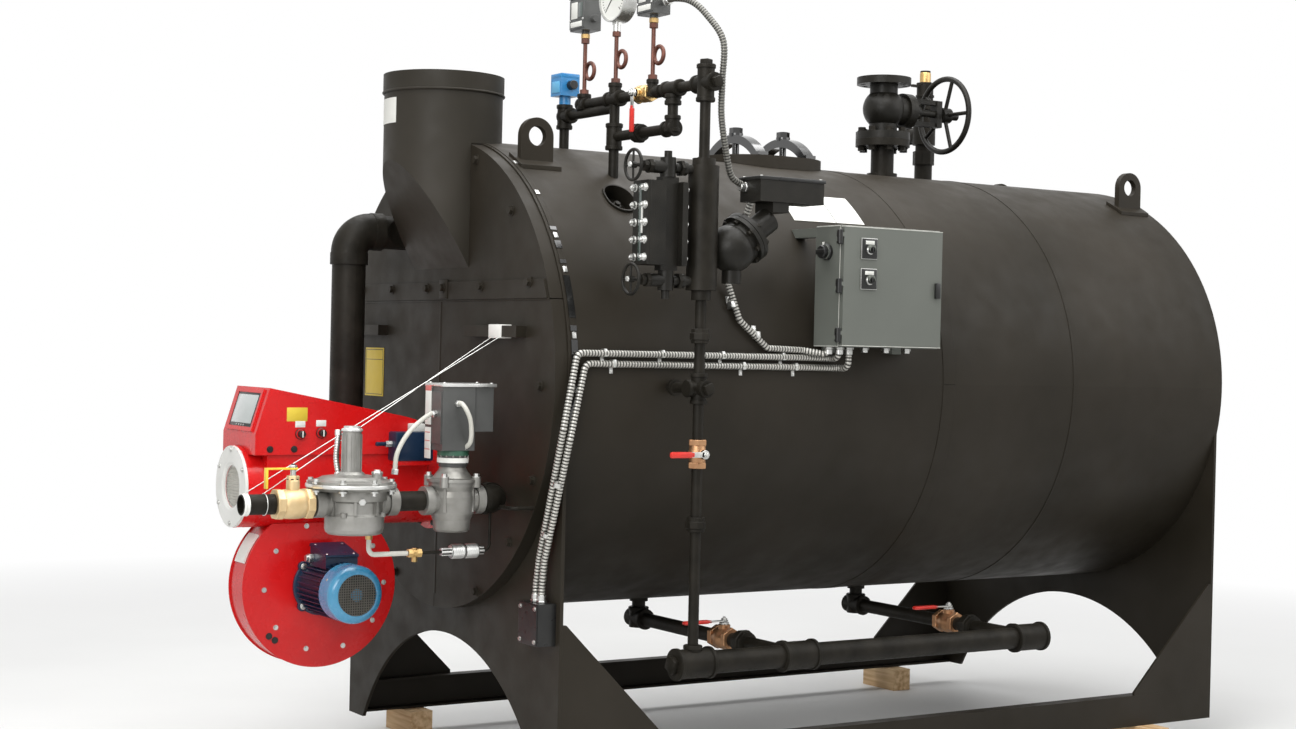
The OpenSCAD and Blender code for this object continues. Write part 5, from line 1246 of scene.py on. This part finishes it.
def build_cover_bolts():
    """Joint strips of the front covers, their bolts and those of the rear door."""
    face = COVER_FACE
    joint = Shape()
    joint.block((4, face - 9, 254), (62, face - 5, 318), 1, 0)
    for x0, x1, z0, z1, proud, edge in ((-740, 740, 243.5, 250.5, 2.5, 0.8), (-2, 8, -740, -482, 1.6, 0.6),
                                        (-2, 8, -226, 246, 1.6, 0.6)):
        joint.block((x0, face - proud, z0), (x1, face + 1, z1), edge, 0)
    make("cover_joint_strips", joint, [BLACK])
    places = [(x, face - 6, z) for x, z in ((-621, 292), (-367, 290), (-91, 290), (302, 292), (621, 300))]
    places.append((33, face - 9, 290))
    pairs = ((240, 707), (486, 529), (697, -21), (661, -314), (520, -520), (300, -700))
    places += [(side * x, face, z) for x, z in pairs for side in (-1, 1)]
    bolts("front_cover_bolts", [(place, FRONT) for place in places], 13.5, 11, BLACK, 17)
    rear = circle_of((0, span("rear_plate")[1].y + 12, 0), Y, SHELL_R - 78, 20, 9)
    bolts("rear_door_bolts", rear, 13, 11, BLACK, 17)


def arc_band(shape, radius, thick, y0, y1, start, end, steps, number=0):
    """Curved sheet round the boiler's axis, from one angle to another."""
    turns = [math.radians(start + (end - start) * i / steps) for i in range(steps + 1)]
    shape.plate(arc_outline(radius, radius + thick, turns), y1 - y0, seat((0, y1, 0), X, FRONT), number)


def build_shell_trim():
    """Jacket seams, and the rim band with its strips and clips."""
    seams = Shape()
    for y0, y1 in ((1500, 1557), (2119, 2126)):
        for start, end in ((0.1, 180), (180, 359.9)):
            arc_band(seams, SHELL_R - 0.5, 2.1, y0, y1, start, end, 96)
    make("jacket_seams", seams, [BLACK])
    rim = Shape()
    for start, end in ((-78, 76), (104, 258)):
        arc_band(rim, SHELL_R - 0.5, 2.6, 11, 30, start, end, 90)
    for start, end in ((2, 9), (11, 12.2), (14, 24), (27, 28), (31, 33), (-12, -4), (36, 37)):
        arc_band(rim, SHELL_R + 1.8, 2.2, 9.5, 31.5, start, end, 10, 1)
    for degrees in (10, 25.5, 34.5, -2, 48, 61, -24, -40):
        out = upright(degrees)
        rim.block((-7, -10, 0), (7, 10, 3.6), 0.8, 2, seat(out * (SHELL_R + 1.5) + Y * 21, Y, out))
    make("rim_band", rim, [BLACK, GLOSS_BLACK, ZINC], sharp=30)


def build_bare_plates():
    """The stack's bead, and the bare plates on the stack, the front cover and the shell."""
    low, high = span("flue_stack")
    radius = (high.x - low.x) / 2
    bead = Vector((0, -50, high.z - 62))
    inner, skin, proud = radius - 5, radius + 0.6, radius + 3
    stack = Shape()
    stack.turned([(inner, -3), (skin, -3), (proud, -0.5), (proud, 2.5), (skin, 5), (inner, 5), (inner, -3)],
                 bead, Z, 0, 96)
    make("stack_bead", stack, [STACK_BLACK])

    plates = Shape()
    outline = arc_outline(radius - 4.6, radius - 3.2, [math.radians(-120 + 3 * i) for i in range(15)])
    plates.plate(outline, 84, Matrix.Translation(bead - Z * 108))
    face = COVER_FACE
    plates.block((-591, face - 1.4, -90), (-438, face + 1, 83), 0.6, 1)
    for z in (-84, 75, 40):
        plates.block((-585, face - 1.9, z), (-444, face, z + 2), 0.2, 2)
    for x in (-585, -446):
        plates.block((x, face - 1.9, -84), (x + 2, face, 77), 0.2, 2)
    start, end = (math.degrees(math.asin(z / SHELL_R)) for z in (552, 649))
    for y0, y1 in ((1011, 1190), (1194, 1316)):
        arc_band(plates, SHELL_R - 0.2, 2.0, y0, y1, start, end, 12)
    make("bare_plates", plates, [PAPER, LABEL_YELLOW, BOX_BLACK], sharp=30)


def build_panel_trim():
    """Switches, latch, worn edges, hinges and glands of the control panel, and the junction box's screws."""
    door = Shape()
    for z in (PANEL_LOW + 223, PANEL_LOW + 322):
        at = Vector((DOOR_FACE, PANEL_Y + 103, z))
        door.block_by(at, (0.2, -33.5, -34.5), (5.6, 33.5, 34.5), 2, 1)
        door.block_by(at, (0.5, -32, -33), (7.4, 32, 33), 2.5, 0)
        door.block_by(at, (7, -18, 14), (8.4, 18, 26), 0.5, 2)
        door.rod(at + Vector((6, 0, -4)), X, 15, 8, 1, 28, 1.5)
        door.rod(at + Vector((13, 0, -4)), X, 12, 11, 0, 24, 2)
        door.block_by(at, (23, -3, -15), (26, 3, 7), 1, 0)
    latch = Vector((DOOR_FACE, PANEL_Y + 395, PANEL_LOW))
    door.block_by(latch, (0.5, -10, 168), (13, 10, 220), 3, 0)
    for z in (PANEL_LOW + 3, PANEL_TOP - 5):
        door.block((DOOR_FACE - 16, PANEL_Y + 1.4, z), (DOOR_FACE + 0.8, PANEL_Y + 418.6, z + 2.4), 0.6, 3)
    make("door_switches", door, [BOX_BLACK, ZINC, PAPER, PANEL_EDGE], "door")

    box, sleeves = Shape(), Shape()
    at = Vector((PANEL_X + 66, PANEL_Y, PANEL_TOP - 86))
    box.rod(at, FRONT, 27, 12, 0, 36, 2)
    box.rod(at + FRONT * 12, FRONT, 22, 20, 0, 30, 3)
    box.block_by(at, (-25, -34, -9), (25, -16, 9), 3.5, 0)
    box.block_by(at, (-30, -1.6, 2), (-20, 1, 34), 0.4, 1)
    for z in (PANEL_LOW + 38, (PANEL_LOW + PANEL_TOP) / 2, PANEL_TOP - 38):
        hinge = Vector((DOOR_FACE, PANEL_Y, z))
        box.block_by(hinge, (-33, -5.4, -21), (-16, 1, 21), 2.4, 0)
        sleeves.rod(hinge + Vector((-8.3, -9, -24)), Z, 9.4, 48, 0, 24, 1.5)
    edge, near = DOOR_FACE - 16.4, PANEL_X + 2
    for z in (PANEL_LOW + 0.6, PANEL_TOP - 3):
        box.block((near, PANEL_Y - 1, z), (edge, PANEL_Y + 1, z + 2.4), 0.5, 3)
    box.block((edge - 2.6, PANEL_Y - 1, PANEL_LOW), (edge, PANEL_Y + 1, PANEL_TOP), 0.5, 3)
    box.block((near, PANEL_Y + 1, PANEL_TOP - 0.6), (edge, PANEL_Y + 419, PANEL_TOP + 0.8), 0.4, 3)
    for y in (170, 260, 350):
        gland = Vector((PANEL_X + 56, PANEL_Y + y, PANEL_LOW))
        box.rod(gland, -Z, 15, 9, 2, 6, 1)
        box.rod(gland - Z * 8, -Z, 11, 9, 2, 20, 1)
    make("panel_fittings", box, [BOX_BLACK, PAPER, ZINC, PANEL_EDGE])
    make("panel_hinge_sleeves", sleeves, [BOX_BLACK], "door")
    corners = points_by(JBOX_LOW, *[(x, 0, z) for x in (14, 104) for z in (14, 116)])
    bolts("junction_box_screws", [(at, FRONT) for at in corners], 5.5, 3.5, ZINC, 7.5, 12)


build_conduits()
build_ball_valves()
build_levers()
build_fan_motor()
build_fan_trim()
build_control_cover_trim()
build_air_inlet_trim()
build_gas_train_trim()
build_pilot_line()
build_actuator_trim()
build_leads()
build_fittings()
build_column_trim()
build_steam_trim()
build_instruments()
build_cover_bolts()
build_shell_trim()
build_bare_plates()
build_panel_trim()


# Light, floor and background, in metres

FLOOR_REACH = 40.0
FADE_START, FADE_END = 2.2, 7.0
SKY_STRENGTH = 0.30


def seen_directly(tree):
    """1 for camera, mirror and glass rays, 0 for the light they gather."""
    path = add_node(tree, "ShaderNodeLightPath").outputs
    seen = path["Is Camera Ray"]
    for other in ("Is Glossy Ray", "Is Transmission Ray"):
        seen = add_node(tree, "ShaderNodeMath", {0: seen, 1: path[other]}, operation="MAXIMUM")
    return seen


def fade_to_white(tree, shader):
    """The floor goes over into the white behind it, away from the boiler."""
    place = add_node(tree, "ShaderNodeTexCoord").outputs["Object"]
    away = add_node(tree, "ShaderNodeVectorMath", {0: place}, operation="LENGTH").outputs["Value"]
    fade = add_node(tree, "ShaderNodeMapRange", {"Value": away, "From Min": FADE_START, "From Max": FADE_END})
    both = add_node(tree, "ShaderNodeMath", {0: fade, 1: seen_directly(tree)}, operation="MULTIPLY")
    white = add_node(tree, "ShaderNodeEmission", {"Color": (1, 1, 1, 1)})
    mix = add_node(tree, "ShaderNodeMixShader", {0: both, 1: shader, 2: white})
    feed(tree, tree.nodes["Material Output"], {"Surface": mix})


def add_stage():
    """A wide, pale floor at the boiler's foot."""
    z = CAD_BOX[0][2]
    mesh = bpy.data.meshes.new("floor")
    corners = [(x * FLOOR_REACH, y * FLOOR_REACH, z) for x, y in ((-1, -1), (1, -1), (1, 1), (-1, 1))]
    mesh.from_pydata(corners, [], [[0, 1, 2, 3]])
    made, tree, shader = new_material("pale_floor")
    colour = ramp(tree, noise(tree, 0.8, 4.0), (0.70, 0.70, 0.69), (0.75, 0.75, 0.74))
    feed(tree, shader, {"Base Color": colour, "Roughness": 0.6})
    fade_to_white(tree, shader)
    mesh.materials.append(made)
    floor = placed("floor", mesh)


def add_world():
    """Soft white light from all round, in front of a plain white background."""
    world = bpy.data.worlds.new("studio")
    world.use_nodes = True
    tree = world.node_tree
    soft = tree.nodes["Background"]
    feed(tree, soft, {"Color": (1, 1, 1, 1), "Strength": SKY_STRENGTH})
    white = add_node(tree, "ShaderNodeBackground", {"Color": (1, 1, 1, 1), "Strength": 1.0})
    mix = add_node(tree, "ShaderNodeMixShader", {0: seen_directly(tree), 1: soft, 2: white})
    feed(tree, tree.nodes["World Output"], {"Surface": mix})
    bpy.context.scene.world = world


def add_lamp(name, place, target, size, watts):
    """Rectangular lamp at a place, looking at a target, with its size in metres."""
    lamp = bpy.data.lights.new(name, "AREA")
    lamp.shape = "RECTANGLE"
    lamp.size, lamp.size_y = size
    lamp.energy = watts
    placed(name, lamp).matrix_world = aim(OWN @ Vector(place), Vector(place) - Vector(target))


add_stage()
add_world()
add_lamp("overhead", (600, 600, 4200), (0, 900, 0), (5.0, 7.0), 520)
add_lamp("front_fill", (3600, -3800, 1800), (300, 0, -200), (3.0, 3.0), 170)
add_lamp("rear_fill", (3500, 4500, 2600), (300, 1500, 0), (4.0, 3.0), 80)

bpy.context.scene.view_settings.view_transform = "Standard"
